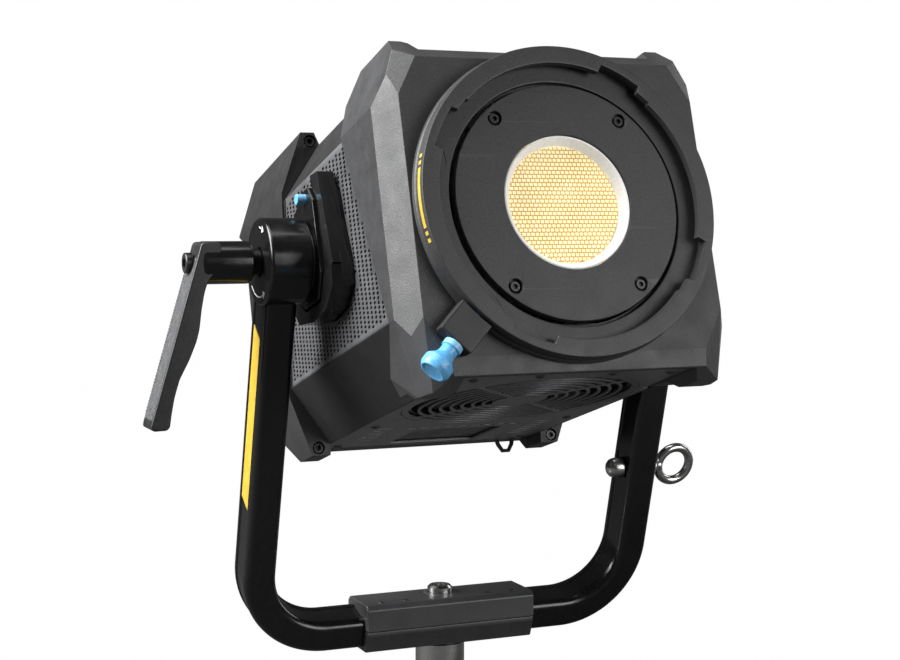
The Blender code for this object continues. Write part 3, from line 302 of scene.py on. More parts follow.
def placed(name, shape, material):
    """An object made from a bmesh and put in the scene."""
    mesh = bpy.data.meshes.new(name)
    shape.to_mesh(mesh)
    shape.free()
    mesh.materials.append(material)
    obj = bpy.data.objects.new(name, mesh)
    bpy.context.scene.collection.objects.link(obj)
    return obj


def piece(name, shape, body, material, where=PART, stands_for=(), sharp=32):
    """Turns a bmesh in millimetres into a piece that rides on a body."""
    bmesh.ops.remove_doubles(shape, verts=shape.verts, dist=0.0005)
    bmesh.ops.recalc_face_normals(shape, faces=shape.faces)
    shape.transform(where @ SCALE)
    obj = placed(name, shape, material)
    shade(obj, sharp)
    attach(obj, body)
    if stands_for:
        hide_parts(*stands_for)
    return obj


def bevelled(obj, width):
    modifier = obj.modifiers.new("edge", "BEVEL")
    modifier.width = width * 0.001
    modifier.segments = 2
    modifier.limit_method = "ANGLE"
    modifier.angle_limit = math.radians(24)
    modifier.harden_normals = False
    apply_modifiers(obj)


def apply_modifiers(obj):
    bpy.context.view_layer.update()
    graph = bpy.context.evaluated_depsgraph_get()
    mesh = bpy.data.meshes.new_from_object(obj.evaluated_get(graph))
    obj.modifiers.clear()
    obj.data = mesh


def shade(obj, sharp):
    """Smooth shading that follows the large faces, so that flat faces look flat beside soft edges."""
    obj.data.shade_smooth()
    obj.data.set_sharp_from_angle(angle=math.radians(sharp))
    weighted = obj.modifiers.new("shading", "WEIGHTED_NORMAL")
    weighted.keep_sharp = True
    weighted.weight = 100
    apply_modifiers(obj)


def refined(node, material, width):
    """A copy of a CAD node with its flat faces joined up and its edges softened, in its place."""
    source = frame["nodes"][node]
    shape = bmesh.new()
    shape.from_mesh(source.data)
    bmesh.ops.remove_doubles(shape, verts=shape.verts, dist=0.000002)
    bmesh.ops.dissolve_limit(
        shape, angle_limit=math.radians(
            0.6,
        ), verts=shape.verts, edges=shape.edges, use_dissolve_boundaries=False
    )
    obj = placed(node + "_skin", shape, material)
    bevelled(obj, width)
    shade(obj, 30)
    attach(obj, source["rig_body"])
    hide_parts(node)


def lathe(profile, sides=160, bend=None):
    """A body turned about local Z from (radius, height) points. bend(i, degrees, radius) may move a point."""
    shape = bmesh.new()
    closed = profile[0][0] > 0 and profile[-1][0] > 0
    rings = []
    for k in range(sides):
        angle = 2 * math.pi * k / sides
        ring = []
        for i, (radius, height) in enumerate(profile):
            r = bend(i, math.degrees(angle), radius) if bend else radius
            ring.append(shape.verts.new((r * math.cos(angle), r * math.sin(angle), height)))
        rings.append(ring)
    last = len(profile) if closed else len(profile) - 1
    for k in range(sides):
        here, there = rings[k], rings[(k + 1) % sides]
        for i in range(last):
            j = (i + 1) % len(profile)
            shape.faces.new((here[i], here[j], there[j], there[i]))
    bmesh.ops.remove_doubles(shape, verts=shape.verts, dist=0.0005)
    return shape


def from_curve(curve):
    """A curve's mesh as a bmesh."""
    obj = bpy.data.objects.new("curve", curve)
    bpy.context.scene.collection.objects.link(obj)
    graph = bpy.context.evaluated_depsgraph_get()
    mesh = bpy.data.meshes.new_from_object(obj.evaluated_get(graph))
    shape = bmesh.new()
    shape.from_mesh(mesh)
    bpy.data.objects.remove(obj, do_unlink=True)
    bpy.data.meshes.remove(mesh)
    return shape


def plate(outlines, low, high, edge=0.0, rounds=2):
    """A flat plate in the XY plane between two heights; outlines after the first are holes."""
    curve = bpy.data.curves.new("outline", "CURVE")
    curve.dimensions = "2D"
    curve.fill_mode = "BOTH"
    curve.extrude = (high - low) / 2 - edge
    curve.bevel_depth = edge
    curve.bevel_resolution = rounds
    curve.offset = -edge
    for outline in outlines:
        spline = curve.splines.new("POLY")
        spline.points.add(len(outline) - 1)
        for point, (x, y) in zip(spline.points, outline):
            point.co = (x, y, 0, 1)
        spline.use_cyclic_u = True
    shape = from_curve(curve)
    bmesh.ops.translate(shape, vec=(0, 0, (low + high) / 2), verts=shape.verts)
    bmesh.ops.remove_doubles(shape, verts=shape.verts, dist=0.0005)
    return shape


def arc(centre, radius, start, end, steps):
    angles = [math.radians(start + (end - start) * i / steps) for i in range(steps + 1)]
    return [(centre[0] + radius * math.cos(a), centre[1] + radius * math.sin(a)) for a in angles]


def circle(centre, radius, steps=64):
    return arc(centre, radius, 0, 360, steps)[:-1]


def rounded(half_x, half_y, corner, centre=(0, 0), steps=5):
    outline = []
    for sign_x, sign_y, start in ((1, 1, 0), (-1, 1, 90), (-1, -1, 180), (1, -1, 270)):
        middle = (centre[0] + sign_x * (half_x - corner), centre[1] + sign_y * (half_y - corner))
        outline += arc(middle, corner, start, start + 90, steps)
    return outline


def softened(outline, radius, steps=3):
    """The outline with its corners rounded."""
    smooth = []
    count = len(outline)
    for i in range(count):
        here = Vector(outline[i])
        before = Vector(outline[i - 1]) - here
        after = Vector(outline[(i + 1) % count]) - here
        reach = min(radius, before.length * 0.4, after.length * 0.4)
        start = here + before.normalized() * reach
        end = here + after.normalized() * reach
        for k in range(steps + 1):
            t = k / steps
            point = start * (1 - t) ** 2 + here * 2 * t * (1 - t) + end * t * t
            smooth.append((point.x, point.y))
    return smooth


def block(low, high, edge=0.0, segments=2):
    shape = bmesh.new()
    bmesh.ops.create_cube(shape, size=1.0)
    size = Vector(high) - Vector(low)
    bmesh.ops.scale(shape, vec=size, verts=shape.verts)
    bmesh.ops.translate(shape, vec=(Vector(high) + Vector(low)) / 2, verts=shape.verts)
    if edge:
        bmesh.ops.bevel(
            shape, geom=list(shape.edges), offset=edge, segments=segments, profile=0.5, affect="EDGES"
        )
    return shape


def joined(*shapes):
    """Several shapes in one bmesh."""
    whole = shapes[0]
    for shape in shapes[1:]:
        mesh = bpy.data.meshes.new("part")
        shape.to_mesh(mesh)
        shape.free()
        whole.from_mesh(mesh)
        bpy.data.meshes.remove(mesh)
    return whole


def moved(shape, matrix):
    shape.transform(matrix)
    return shape


def at(x, y, z):
    return Matrix.Translation((x, y, z))


def tube_along(points, radius, sides=16, closed=False):
    """A round wire through the points."""
    curve = bpy.data.curves.new("wire", "CURVE")
    curve.dimensions = "3D"
    curve.bevel_depth = radius
    curve.bevel_resolution = sides // 4
    curve.use_fill_caps = True
    spline = curve.splines.new("POLY")
    spline.points.add(len(points) - 1)
    for point, position in zip(spline.points, points):
        point.co = (*position, 1)
    spline.use_cyclic_u = closed
    return from_curve(curve)


YZ = Matrix(((0, 0, 1, 0), (1, 0, 0, 0), (0, 1, 0, 0), (0, 0, 0, 1)))
XZ = Matrix(((1, 0, 0, 0), (0, 0, -1, 0), (0, 1, 0, 0), (0, 0, 0, 1)))


def bolt_head(radius, height, socket=0.5, edge=0.4):
    """A socket-head screw top about local Z, its rim at height 0 and its hexagon sunk in it."""
    inner = radius * socket

    profile = [
        (radius, -height), (radius, -edge), (radius - edge, 0),
        (inner * 0.87, 0), (inner * 0.87, -height * 0.7), (0, -height * 0.7),
    ]

    def bend(i, degrees, r):
        if i in (3, 4):
            offset = (degrees % 60) - 30
            return r / math.cos(math.radians(offset))
        return r

    return lathe(profile, 72, bend)


# ---------------------------------------------------------------- accessory ring and optics


def claw_reach(degrees, radius):
    """Inner radius of the claws at an angle clockwise from the top, opened at the four entry slots."""
    for entry in ENTRIES:
        off = (degrees - entry + 180) % 360 - 180
        if abs(off) < ENTRY_HALF:
            return ENTRY_RADIUS
        if abs(off) < ENTRY_END:
            return ENTRY_RADIUS - (abs(off) - ENTRY_HALF) / ENTRY_RAMP * ENTRY_DROP
        if ENTRY_END <= off < STEP_END:
            return radius + STEP_DEPTH
    return radius


def mount_ring():
    profile = [
        (80.0, 102.6), (80.0, 104.9), (79.7, 105.5), (79.2, 106.0), (
            78.85, 112.2,
        ), (78.6, 112.8), (78.0, 113.0),
        (70.6, 113.0), (69.95, 112.8), (69.7, 112.2), (69.7, 109.3), (74.2, 109.3), (74.2, 105.9),
        (63.0, 105.9), (62.4, 105.7), (62.2, 105.2), (62.2, 102.6)
    ]
    shifts = {7: 0.9, 8: 0.25, 9: 0.0, 10: 0.0}

    def bend(i, degrees, radius):
        if i in shifts:
            return claw_reach((90 - degrees) % 360, CLAW_RADIUS) + shifts[i]
        return radius

    shape = lathe(profile, 720, bend)
    piece("mount_ring_body", shape, "head", CHARCOAL, HEAD @ FORWARD, ["mount_ring"], sharp=28)


def ring_marks():
    """Film arrow on the ring's left wall."""
    shape = bmesh.new()
    low, high = (79.2, 107.9), (79.06, 110.7)
    bands = ((163.2, 164.6), (165.8, 167.2), (168.4, 190.0), (191.2, 192.6), (193.8, 195.2))
    for start, end in bands:
        steps = 12
        verts = []
        for k in range(steps + 1):
            angle = math.radians(start + (end - start) * k / steps)
            verts.append(
                [shape.verts.new((r * math.cos(angle), r * math.sin(angle), h)) for r, h in (low, high)]
            )
        for near, far in zip(verts, verts[1:]):
            shape.faces.new((near[0], near[1], far[1], far[0]))
    piece("ring_film", shape, "head", YELLOW, HEAD @ FORWARD)


def painted_floor_shade_and_step_lines():
    """A thin dark oblong sheet on the ring's floor, painted shade where the oblong recess lies, and two
    pressed step lines.
    """
    dark = bmesh.new()
    near, far = 66.2, 71.0
    # Painted shade: the oblong is a dark sheet laid on the floor, standing in for the shade inside a recess
    # that is not cut.
    outline = arc((0, 0), far, -54, -38, 16) + arc((0, 0), near, -38, -54, 16)
    dark = joined(dark, plate([softened(outline, 1.6, 3)], 105.88, 105.96))
    for start, way in ((226, 1), (164, -1)):
        points = []
        for k in range(17):
            t = k / 16
            radius = 64.5 + 9.3 * t
            angle = math.radians(start + way * (12 * t + 2.2 * math.sin(2 * math.pi * t)))
            points.append((radius * math.cos(angle), radius * math.sin(angle), 105.9))
        dark = joined(dark, tube_along(points, 0.16, 8))
    piece("ring_floor_shade_and_step_lines", dark, "head", CASING, HEAD @ FORWARD)


def front_plate():
    """Round plate with four screw pockets, and the screws in them."""
    holes = [circle((x, z), 3.7, 48) for x in (-SCREW_X, SCREW_X) for z in (-SCREW_Z, SCREW_Z)]
    shape = plate([circle((0, 0), 60.0, 256), circle((0, 0), 34.3, 192), *holes], 103.2, 107.9, 0.45, 3)
    piece("front_plate_disc", shape, "head", CHARCOAL, HEAD @ FORWARD, ["front_plate"], sharp=40)
    cups = bmesh.new()
    for x in (-SCREW_X, SCREW_X):
        for z in (-SCREW_Z, SCREW_Z):
            cup = lathe(
                [(3.72, 103.5), (3.72, 106.9), (3.6, 106.9), (3.6, 104.8), (1.7, 104.6), (1.7, 103.5)], 48,
            )
            cups = joined(cups, moved(cup, at(x, z, 0)))
    piece("plate_pockets", cups, "head", PLASTIC, HEAD @ FORWARD)
    for level, z in (("upper", SCREW_Z), ("lower", -SCREW_Z)):
        for side, x in (("left", -SCREW_X), ("right", SCREW_X)):
            head = moved(bolt_head(2.7, 1.8, 0.52), at(x, z, 107.2))
            shank = moved(lathe([(1.5, 105.3), (1.5, 102.0), (0, 102.0)], 24), at(x, z, 0))
            name = f"front_screw_{level}_{side}"
            piece(name + "_head", joined(head, shank), "head", BLACK_STEEL, HEAD @ FORWARD, [name])


def reflector():
    profile = [
        (33.9, 100.2), (33.9, 107.1), (33.6, 107.4), (33.0, 107.4), (32.7, 107.1), (31.6, 104.8),
        (30.1, 103.3), (30.0, 100.2),
    ]
    piece("reflector_rim", lathe(profile, 192), "head", WHITE, HEAD @ FORWARD, ["reflector_ring"], sharp=40)


def emitter():
    board = block((-36, -36, 97.9), (36, 36, 99.9), 0.2)
    disc = lathe([(29.6, 99.9), (29.6, 102.8), (29.4, 103.0), (0, 103.0)], 128)
    piece("emitter_disc", joined(board, disc), "head", CHIPS, HEAD @ FORWARD, ["led_cob"], sharp=40)


# ---------------------------------------------------------------- lock


def lock_frame():
    """Local Z runs outward along the pin, local Y along the beam."""
    return HEAD @ Matrix.Rotation(LOCK_TURN, 4, "Y")


def lock():
    where = lock_frame()
    line = at(0, -107, 0)
    pin = [
        (0, 115.2), (
            4.6, 115.2,
        ), (5.0, 115.5), (6.0, 115.8), (6.5, 115.6), (7.5, 114.0), (7.7, 113.4), (7.7, 110.2),
        (
            7.4, 109.4,
        ), (5.2, 107.0), (4.5, 105.6), (4.2, 104.2), (4.2, 101.2), (5.0, 100.8), (5.0, 98.0), (2.0, 98.0),
        (2.0, 71.5), (1.2, 70.7), (0, 70.7)
    ]
    piece("lock_pull", moved(lathe(pin, 72), line), "lock", BLUE, where, ["lock_pin"], sharp=50)
    springs = []
    turns = 7
    for k in range(turns * 20 + 1):
        t = k / (turns * 20)
        a = 2 * math.pi * turns * t
        springs.append((3.0 * math.cos(a), 3.0 * math.sin(a), 83.9 + 10.6 * t))
    piece(
        "lock_coil", moved(tube_along(springs, 0.32, 8), line), "head", STEEL, where, ["lock_spring"],
        sharp=60,
    )


def underside():
    outline = softened(
        [(-62, -98.2), (62, -98.2), (62, -46), (66, -46), (66, 106.6), (-66, 106.6), (-66, -46), (-62, -46)],
        1.5,
    )
    holes = [circle((0, FAN_Y), 62.6, 160)]
    for i in range(9):
        holes.append(rounded(2.9, 1.2, 1.1, ((i - 4) * 7.8, 49), 4))
    for i in range(7):
        holes.append(rounded(5.2, 0.8, 0.7, (-48, 46 + i * 6.4), 3))
        holes.append(rounded(5.2, 0.8, 0.7, (48, 46 + i * 6.4), 3))
    for x, y in UNDERSIDE_SCREWS:
        holes.append(circle((x, y), 1.7, 24))
    holes.append(softened([(-27, 56), (27, 56), (27, 101), (-27, 101)], 3))
    shape = plate([outline, *holes], -83.5, -82.0, 0.3, 1)
    piece("underside_sheet", shape, "head", SHEET, HEAD, ["underside_panel"], sharp=40)
    screws = bmesh.new()
    for x, y in UNDERSIDE_SCREWS:
        dome = [
            (0, -84.6), (1.4, -84.5), (2.3, -84.1), (2.6, -83.55), (1.5, -83.5), (1.5, -81.0), (0, -81.0),
        ]
        screws = joined(screws, moved(lathe(dome, 24), at(x, y, 0)))
    piece("underside_screws", screws, "head", BLACK_STEEL, HEAD)


def fan_guard():
    """Thin concentric rings on four crossed spokes, around a round boss."""
    shape = plate([circle((0, FAN_Y), 62.3, 160), circle((0, FAN_Y), 58.6, 144)], -83.3, -82.0, 0.25, 1)
    for i in range(7):
        outer = 53.8 - i * 5.6
        ring = plate(
            [circle((0, FAN_Y), outer, 120), circle((0, FAN_Y), outer - 1.7, 120)], -83.3, -82.1, 0.3, 1,
        )
        shape = joined(shape, ring)
    boss = plate([circle((0, FAN_Y), 14.5, 64)], -83.4, -82.0, 0.3, 1)
    shape = joined(shape, boss)
    for degrees in (45, 135, 225, 315):
        spoke = block((13.6, -1.5, -83.2), (59.4, 1.5, -82.05), 0.3, 1)
        turn = at(0, FAN_Y, 0) @ Matrix.Rotation(math.radians(degrees), 4, "Z")
        shape = joined(shape, moved(spoke, turn))
    piece("fan_grille", shape, "head", SHEET, HEAD, ["fan_guard"], sharp=40)


# ---------------------------------------------------------------- side mesh


MESH_EDGE = [(-39.4, 52.9), (-77.6, -51.0), (81.0, -51.0), (61.0, 52.9)]
RECEIVER = [
    (-14, 36), (-27.3, 31), (-30.4, 12.5), (-36.5, -10.3), (-35.6, -21.2), (-22, -30), (-2, -32),
    (22, -28), (33, -16), (33, -6), (27, 24), (6, 36),
]


def inside(outline, y, z, margin=0.0):
    """Whether a point lies in a convex outline grown by the margin, or shrunk by it if it is negative."""
    count = len(outline)
    area = sum(outline[i - 1][0] * outline[i][1] - outline[i][0] * outline[i - 1][1] for i in range(count))
    sign = 1 if area > 0 else -1
    for i in range(count):
        (ay, az), (by, bz) = outline[i - 1], outline[i]
        length = math.hypot(by - ay, bz - az)
        off = sign * ((by - ay) * (z - az) - (bz - az) * (y - ay)) / length
        if off < -margin:
            return False
    return True


def hole(y, z, half_y, half_z):
    """Elongated hexagonal opening."""
    return [(y - half_y, z), (y - half_y * 0.45, z - half_z), (y + half_y * 0.45, z - half_z),
            (y + half_y, z), (y + half_y * 0.45, z + half_z), (y - half_y * 0.45, z + half_z)]


def side_meshes():
    holes = []
    for column in range(-15, 16):
        for row in range(-22, 23):
            y = column * MESH_PITCH_Y
            z = (row + 0.5 * (column % 2)) * MESH_PITCH_Z
            if inside(MESH_EDGE, y, z, -MESH_MARGIN) and not inside(RECEIVER, y, z, MESH_MARGIN):
                holes.append(hole(y, z, HOLE_HALF_Y, HOLE_HALF_Z))
    cutout = [
        (y * 1.012 + (0.3 if y > 0 else -0.3), z * 1.012 + (0.3 if z > 0 else -0.3)) for y, z in RECEIVER
    ]
    sheet = plate([MESH_EDGE, cutout, *holes], 86.8, 87.9)
    copy = sheet.copy()
    mirror = Matrix.Scale(-1, 4, (1, 0, 0))
    piece("mesh_sheet_right", moved(sheet, YZ), "head", MESH, HEAD, ["side_mesh_right"], sharp=40)
    left = moved(copy, mirror @ YZ)
    bmesh.ops.reverse_faces(left, faces=left.faces)
    piece("mesh_sheet_left", left, "head", MESH, HEAD, ["side_mesh_left"], sharp=40)


# ---------------------------------------------------------------- yoke


def tube_section(steps=5):
    half_x, half_y, edge, depth = ARM_HALF, 12.5, 6.5, 0.6
    outline = rounded(half_x, half_y, 4.5, (0, 0), steps)
    right = [
        (half_x, -edge - 0.3), (half_x - depth, -edge + 0.3), (half_x - depth, edge - 0.3),
        (half_x, edge + 0.3),
    ]
    left = [(-x, -y) for x, y in right]
    half = len(outline) // 2
    return right + outline[:half] + left + outline[half:]


def yoke_tube():
    turn, low = ARM_X - ARM_BEND, ARM_BEND - ARM_DROP
    left = arc((-turn, low), ARM_BEND, 180, 270, 40)
    right = arc((turn, low), ARM_BEND, 270, 360, 40)
    route = [(-ARM_X, ARM_TOP)] + left + right + [(ARM_X, ARM_TOP)]
    section = tube_section()
    shape = bmesh.new()
    rings = []
    for i, (x, z) in enumerate(route):
        here = Vector((x, z))
        before = Vector(route[max(i - 1, 0)])
        after = Vector(route[min(i + 1, len(route) - 1)])
        ways = [way.normalized() for way in (here - before, after - here) if way.length > 0]
        along = (ways[0] + ways[-1]).normalized()
        side = Vector((-along.y, along.x)) / max(along.dot(ways[0]), 0.2)
        rings.append([shape.verts.new((x + side.x * u, v, z + side.y * u)) for u, v in section])
    count = len(section)
    for near, far in zip(rings, rings[1:]):
        for i in range(count):
            j = (i + 1) % count
            shape.faces.new((near[i], near[j], far[j], far[i]))
    shape.faces.new(rings[0])
    shape.faces.new(rings[-1][::-1])
    piece("yoke_tube_body", shape, "yoke", GLOSS, YOKE, ["yoke_tube"], sharp=25)
    stripe = moved(plate([[(5.9, -36), (5.9, -134), (-5.9, -138), (-5.9, -41)]], -0.12, 0.12), YZ)
    stripe = moved(stripe, at(-124.3, 0, 0))
    piece("arm_film", stripe, "yoke", YELLOW, YOKE)


def barrels():
    for tag, side in SIDES:
        turn = LEFT if side < 0 else RIGHT
        r, near, far = BARREL_RADIUS, BARREL_INNER, BARREL_OUTER
        profile = [
            (7.7, far - 3.6), (7.7, far - 0.4), (8.1, far), (r - 1.6, far), (
                r - 0.8, far - 0.2,
            ), (r - 0.2, far - 0.8),
            (r, far - 1.6), (r, near + 1.2), (
                r - 0.4, near + 0.3,
            ), (r - 1.2, near), (12.4, near), (12.4, far - 3.6)
        ]
        piece(
            "barrel_" + tag, lathe(profile, 144), "yoke", GLOSS, YOKE @ turn, ["tilt_barrel_" + tag],
            sharp=40,
        )
    arrow = arc_band(17.6, 18.5, 150, 218, 126.16)
    for degrees, way in ((222, 1), (352, -1)):
        tip = [
            polar(18.05, degrees + 5 * way), polar(15.9, degrees - 5 * way), polar(20.1, degrees - 5 * way),
        ]
        arrow = joined(arrow, plate([tip], 126.05, 126.2))
    arrow = joined(arrow, arc_band(17.6, 18.5, 358, 372, 126.16))
    piece("turn_arrow", arrow, "yoke", PAINT, YOKE @ LEFT)


def polar(radius, degrees):
    angle = math.radians(degrees)
    return radius * math.cos(angle), radius * math.sin(angle)


def arc_band(inner, outer, start, end, height, steps=24):
    shape = bmesh.new()
    pairs = []
    for k in range(steps + 1):
        a = math.radians(start + (end - start) * k / steps)
        pairs.append([shape.verts.new((r * math.cos(a), r * math.sin(a), height)) for r in (inner, outer)])
    for near, far in zip(pairs, pairs[1:]):
        shape.faces.new((near[0], near[1], far[1], far[0]))
    return shape


LEVER_OUTLINE = [
    (-148.4, 10.6), (-158.6, 10.6), (-160.2, 4.8), (-185.4, -81), (-185.6, -83.2), (-183.8, -84.2),
    (-177.4, -84), (-175.8, -82.4), (-174.9, -76), (-173.3, -67.5), (-170.6, -58.5), (-165.4, -48.6),
    (-161.7, -39.6), (-160.1, -33.6), (-158.9, -23.5), (-157.3, -14.9), (-155.7, -9.9), (-153.1, -6.4),
    (-148.4, -3.4),
]


def lever():
    hub = [
        (0, 158.0), (9.0, 158.0), (
            10.4, 157.5,
        ), (11.0, 156.3), (11.0, 133.0), (10.6, 131.6), (9.6, 131.0), (7.3, 131.0),
        (7.0, 130.6), (7.0, 122.8), (0, 122.8)
    ]
    piece("lever_hub", lathe(hub, 96), "lever", GLOSS, TILT @ LEFT, ["tilt_lever"], sharp=40)
    handle = plate([softened(LEVER_OUTLINE, 2.0, 3)], -9.5, 9.5, 0.9, 3)
    piece("lever_handle", moved(handle, XZ), "lever", SATIN, TILT, sharp=40)
    turn = Matrix(((-0.282, 0, -0.96, -172.8), (0, -1, 0, 0), (-0.96, 0, 0.282, -38.1), (0, 0, 0, 1)))
    grip = moved(plate([rounded(42.4, 8.5, 1.6)], -0.15, 0.16, 0.05, 1), turn)
    piece("lever_grip_face", grip, "lever", RUBBED, TILT)
    ridges = bmesh.new()
    for k in range(46):
        along = -36 + k * 1.66
        ridge = block((along - 0.4, 6.9, 0.1), (along + 0.4, 8.4, 0.42), 0.12, 1)
        ridges = joined(ridges, moved(ridge, turn @ Matrix.Scale(-1, 4, (0, 1, 0))))
    piece("lever_grip_ridges", ridges, "lever", RUBBED, TILT)
    bolt = moved(bolt_head(5.3, 3.6, 0.5), at(0, 0, 165.5))
    piece("lever_bolt_head", bolt, "lever", BLACK_STEEL, TILT @ LEFT, ["lever_bolt"])


def bracket():
    saddle = softened([(-19, 91), (-19, 103.4), (-16.4, 106), (11.4, 106), (14, 103.4), (14, 91)], 0.8, 3)
    top = moved(plate([saddle], -BRACKET_HALF, BRACKET_HALF, 0.7, 2), YZ)
    piece("bracket_top", top, "yoke", BRACKET, PART, ["bracket_saddle"], sharp=35)
    base = softened(
        [(-18.2, 90.7), (-18.2, 88.2), (-14.6, 78.5), (9.6, 78.5), (13.2, 88.2), (13.2, 90.7)], 0.7, 3,
    )
    low = moved(plate([base], -BRACKET_HALF, BRACKET_HALF, 0.7, 2), YZ)
    piece("bracket_bottom", low, "yoke", BRACKET, PART, ["bracket_base"], sharp=35)
    ring = lathe([(9.6, 105.9), (9.6, 106.12), (8.8, 106.2), (8.6, 105.9)], 72)
    piece("bolt_seat", ring, "yoke", BRACKET, PART)
    screws = bmesh.new()
    for x in (-41, -26, 26, 41):
        screws = joined(screws, moved(bolt_head(2.2, 1.0, 0.5, 0.2), at(x, -11.5, 106.25)))
    piece("bracket_screws", screws, "yoke", BLACK_STEEL, PART)
    head = moved(bolt_head(7.3, 5.4, 0.46, 1.3), at(0, 0, 110.6))
    piece("stand_bolt_head", head, "yoke", STEEL, PART, ["spigot_bolt"], sharp=40)
    r = SPIGOT_RADIUS
    profile = [
        (0, 78.2), (r - 0.8, 78.2), (r, 77.4), (r, 46.4), (r - 0.3, 45.8), (r - 1.6, 44.2), (r - 1.8, 43.6),
        (r - 1.8, 34.4), (r - 1.6, 33.8), (r - 0.3, 32.2), (r, 31.6), (r, 1.7), (r - 1.5, 0.0), (0, 0),
    ]
    piece("spigot_pin", lathe(profile, 128), "yoke", STEEL, PART, ["spigot"], sharp=40)


def eyebolt():
    centre = ARM_X + ARM_HALF + 0.3 + 17.5
    angles = [2 * math.pi * k / 64 for k in range(64)]
    ring = [(centre + EYE_RADIUS * math.cos(a), 0, EYE_Z + EYE_RADIUS * math.sin(a)) for a in angles]
    shape = tube_along(ring, 2.7, 24, closed=True)
    outer = 125.05
    profile = [
        (0, 101.5), (3.0, 101.5), (3.0, outer), (6.1, outer), (6.5, outer + 0.4), (6.5, outer + 2.1),
        (6.1, outer + 2.5), (4.4, outer + 3.2), (3.7, outer + 5.0), (3.6, outer + 7.0), (0, outer + 7.0),
    ]
    shank = lathe(profile, 48)
    piece(
        "lifting_eye", joined(shape, moved(shank, at(0, 0, EYE_Z) @ RIGHT)), "yoke", STEEL, YOKE,
        ["eyebolt"], sharp=40,
    )
    dome = [
        (0, 9.5), (2.0, 9.2), (3.9, 8.3), (5.2, 7.0), (5.8, 5.4), (6.1, 3.0), (6.3, 0.6), (6.2, 0.1),
        (3.4, 0.0), (3.3, 6.0), (0, 6.0),
    ]
    nut = moved(lathe(dome, 64), at(106.45, 0, EYE_Z) @ LEFT)
    piece("eyebolt_dome", nut, "yoke", STEEL, YOKE, ["eyebolt_nut"], sharp=40)


# ---------------------------------------------------------------- build

mount_ring()
ring_marks()
painted_floor_shade_and_step_lines()
front_plate()
reflector()
emitter()
lock()
underside()
fan_guard()
side_meshes()
yoke_tube()
barrels()
lever()
bracket()
eyebolt()
refined("body_shell", CASING, 0.5)
refined("rear_cover", CASING, 0.7)
refined("lock_housing", CASING, 0.5)
for tag, side in SIDES:
    refined("receiver_" + tag, GLOSS, 0.6)
    refined("shoe_" + tag, GLOSS, 0.5)

CARRIED_OVER = (
    (ALUMINIUM, ("heat_sink", "led_carrier")),
    (BRONZE, ("tilt_bush_left", "tilt_bush_right")),
    (BLACK_STEEL, (
        "tilt_shaft_left", "tilt_shaft_right", "friction_washer_left", "friction_washer_right", "fan_frame",
        "pivot_cap", "rear_screw_upper_left", "rear_screw_upper_right", "rear_screw_lower_left",
        "rear_screw_lower_right",
    )),
    (BLUE, ("release_button_left", "release_button_right", "dimmer_knob")),
    (PLASTIC, (
        "fan_rotor", "control_panel", "menu_button", "power_switch", "power_inlet", "bay_cover",
        "safety_loop",
        "side_frame_left", "side_frame_right",
    )),
    (BOARD, ("driver_board",)),
    (CHARCOAL, ("front_bezel",)),
)


def paint(obj, material):
    obj.data.materials.clear()
    obj.data.materials.append(material)


for finish, names in CARRIED_OVER:
    for name in names:
        paint(frame["nodes"][name], finish)
for obj in frame["nodes"].values():
    if not obj.hide_render and obj.data.materials[0].name not in SLOT_OF:
        paint(obj, SATIN)

# ---------------------------------------------------------------- camera, light and floor


def camera():
    azimuth, elevation = CAMERA_AZIMUTH, CAMERA_ELEVATION
    level = math.cos(elevation)
    back = Vector((math.sin(azimuth) * level, -math.cos(azimuth) * level, math.sin(elevation)))
    right = Vector((math.cos(azimuth), math.sin(azimuth), 0))
    up = back.cross(right)
    data = bpy.data.cameras.new("camera")
    data.lens = CAMERA_LENS
    data.sensor_width = CAMERA_SENSOR
    data.clip_start = 0.01
    obj = bpy.data.objects.new("camera", data)
    turn = Matrix((right, up, back)).transposed().to_4x4()
    obj.matrix_world = Matrix.Translation(CAMERA_PLACE) @ turn
    bpy.context.scene.collection.objects.link(obj)
    bpy.context.scene.camera = obj


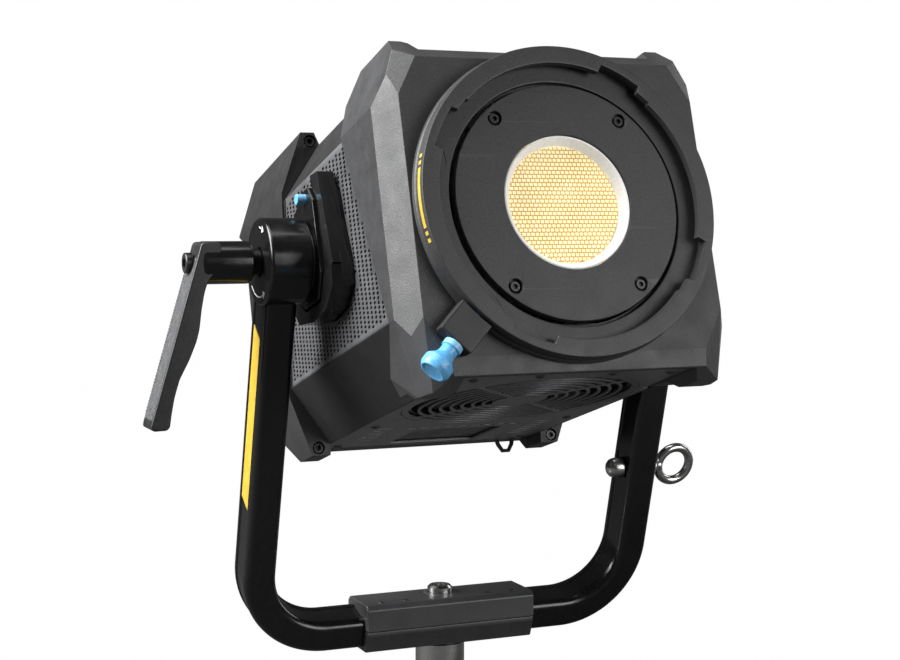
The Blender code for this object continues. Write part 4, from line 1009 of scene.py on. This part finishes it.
def softbox(name, azimuth, elevation, distance, width, height, power):
    """An area light around the lamp: azimuth 0 is in front, and positive to the lamp's left as seen."""
    a, e = math.radians(azimuth), math.radians(elevation)
    away = Vector((-math.sin(a) * math.cos(e), -math.cos(a) * math.cos(e), math.sin(e)))
    data = bpy.data.lights.new(name, "AREA")
    data.shape = "RECTANGLE"
    data.size = width
    data.size_y = height
    data.energy = power
    obj = bpy.data.objects.new(name, data)
    target = Vector((0, -0.05, 0.3))
    obj.location = target + away * distance
    obj.rotation_euler = away.to_track_quat("Z", "Y").to_euler()
    bpy.context.scene.collection.objects.link(obj)


def by_ray(tree, other, seen):
    """One value for what the camera sees directly, and another for every other ray."""
    path = tree.nodes.new("ShaderNodeLightPath")
    amount = tree.nodes.new("ShaderNodeMapRange")
    amount.inputs["To Min"].default_value = other
    amount.inputs["To Max"].default_value = seen
    tree.links.new(path.outputs["Is Camera Ray"], amount.inputs["Value"])
    return amount.outputs["Result"]


def surround():
    """An even pale surround that throws little light."""
    world = bpy.data.worlds.new("studio")
    bpy.context.scene.world = world
    world.use_nodes = True
    tree = world.node_tree
    background = tree.nodes["Background"]
    background.inputs["Color"].default_value = (1, 1, 1, 1)
    tree.links.new(by_ray(tree, 0.06, 1.0), background.inputs["Strength"])


def pale_floor():
    """A pale floor that fades into the surround."""
    material = bpy.data.materials.new("pale_floor")
    material.use_nodes = True
    tree = material.node_tree
    shader = tree.nodes["Principled BSDF"]
    shader.inputs["Base Color"].default_value = (0.05, 0.05, 0.05, 1)
    shader.inputs["Roughness"].default_value = 0.9
    glow = tree.nodes.new("ShaderNodeEmission")
    glow.inputs["Strength"].default_value = 1.0
    blend = tree.nodes.new("ShaderNodeMixShader")
    tree.links.new(by_ray(tree, 0.0, 0.995), blend.inputs["Fac"])
    tree.links.new(shader.outputs["BSDF"], blend.inputs[1])
    tree.links.new(glow.outputs["Emission"], blend.inputs[2])
    tree.links.new(blend.outputs["Shader"], tree.nodes["Material Output"].inputs["Surface"])
    shape = bmesh.new()
    bmesh.ops.create_circle(shape, cap_ends=True, segments=64, radius=3.0)
    placed("floor", shape, material)


camera()
for light in LIGHTS:
    softbox(*light)
surround()
pale_floor()
bpy.context.scene.view_settings.view_transform = "Standard"
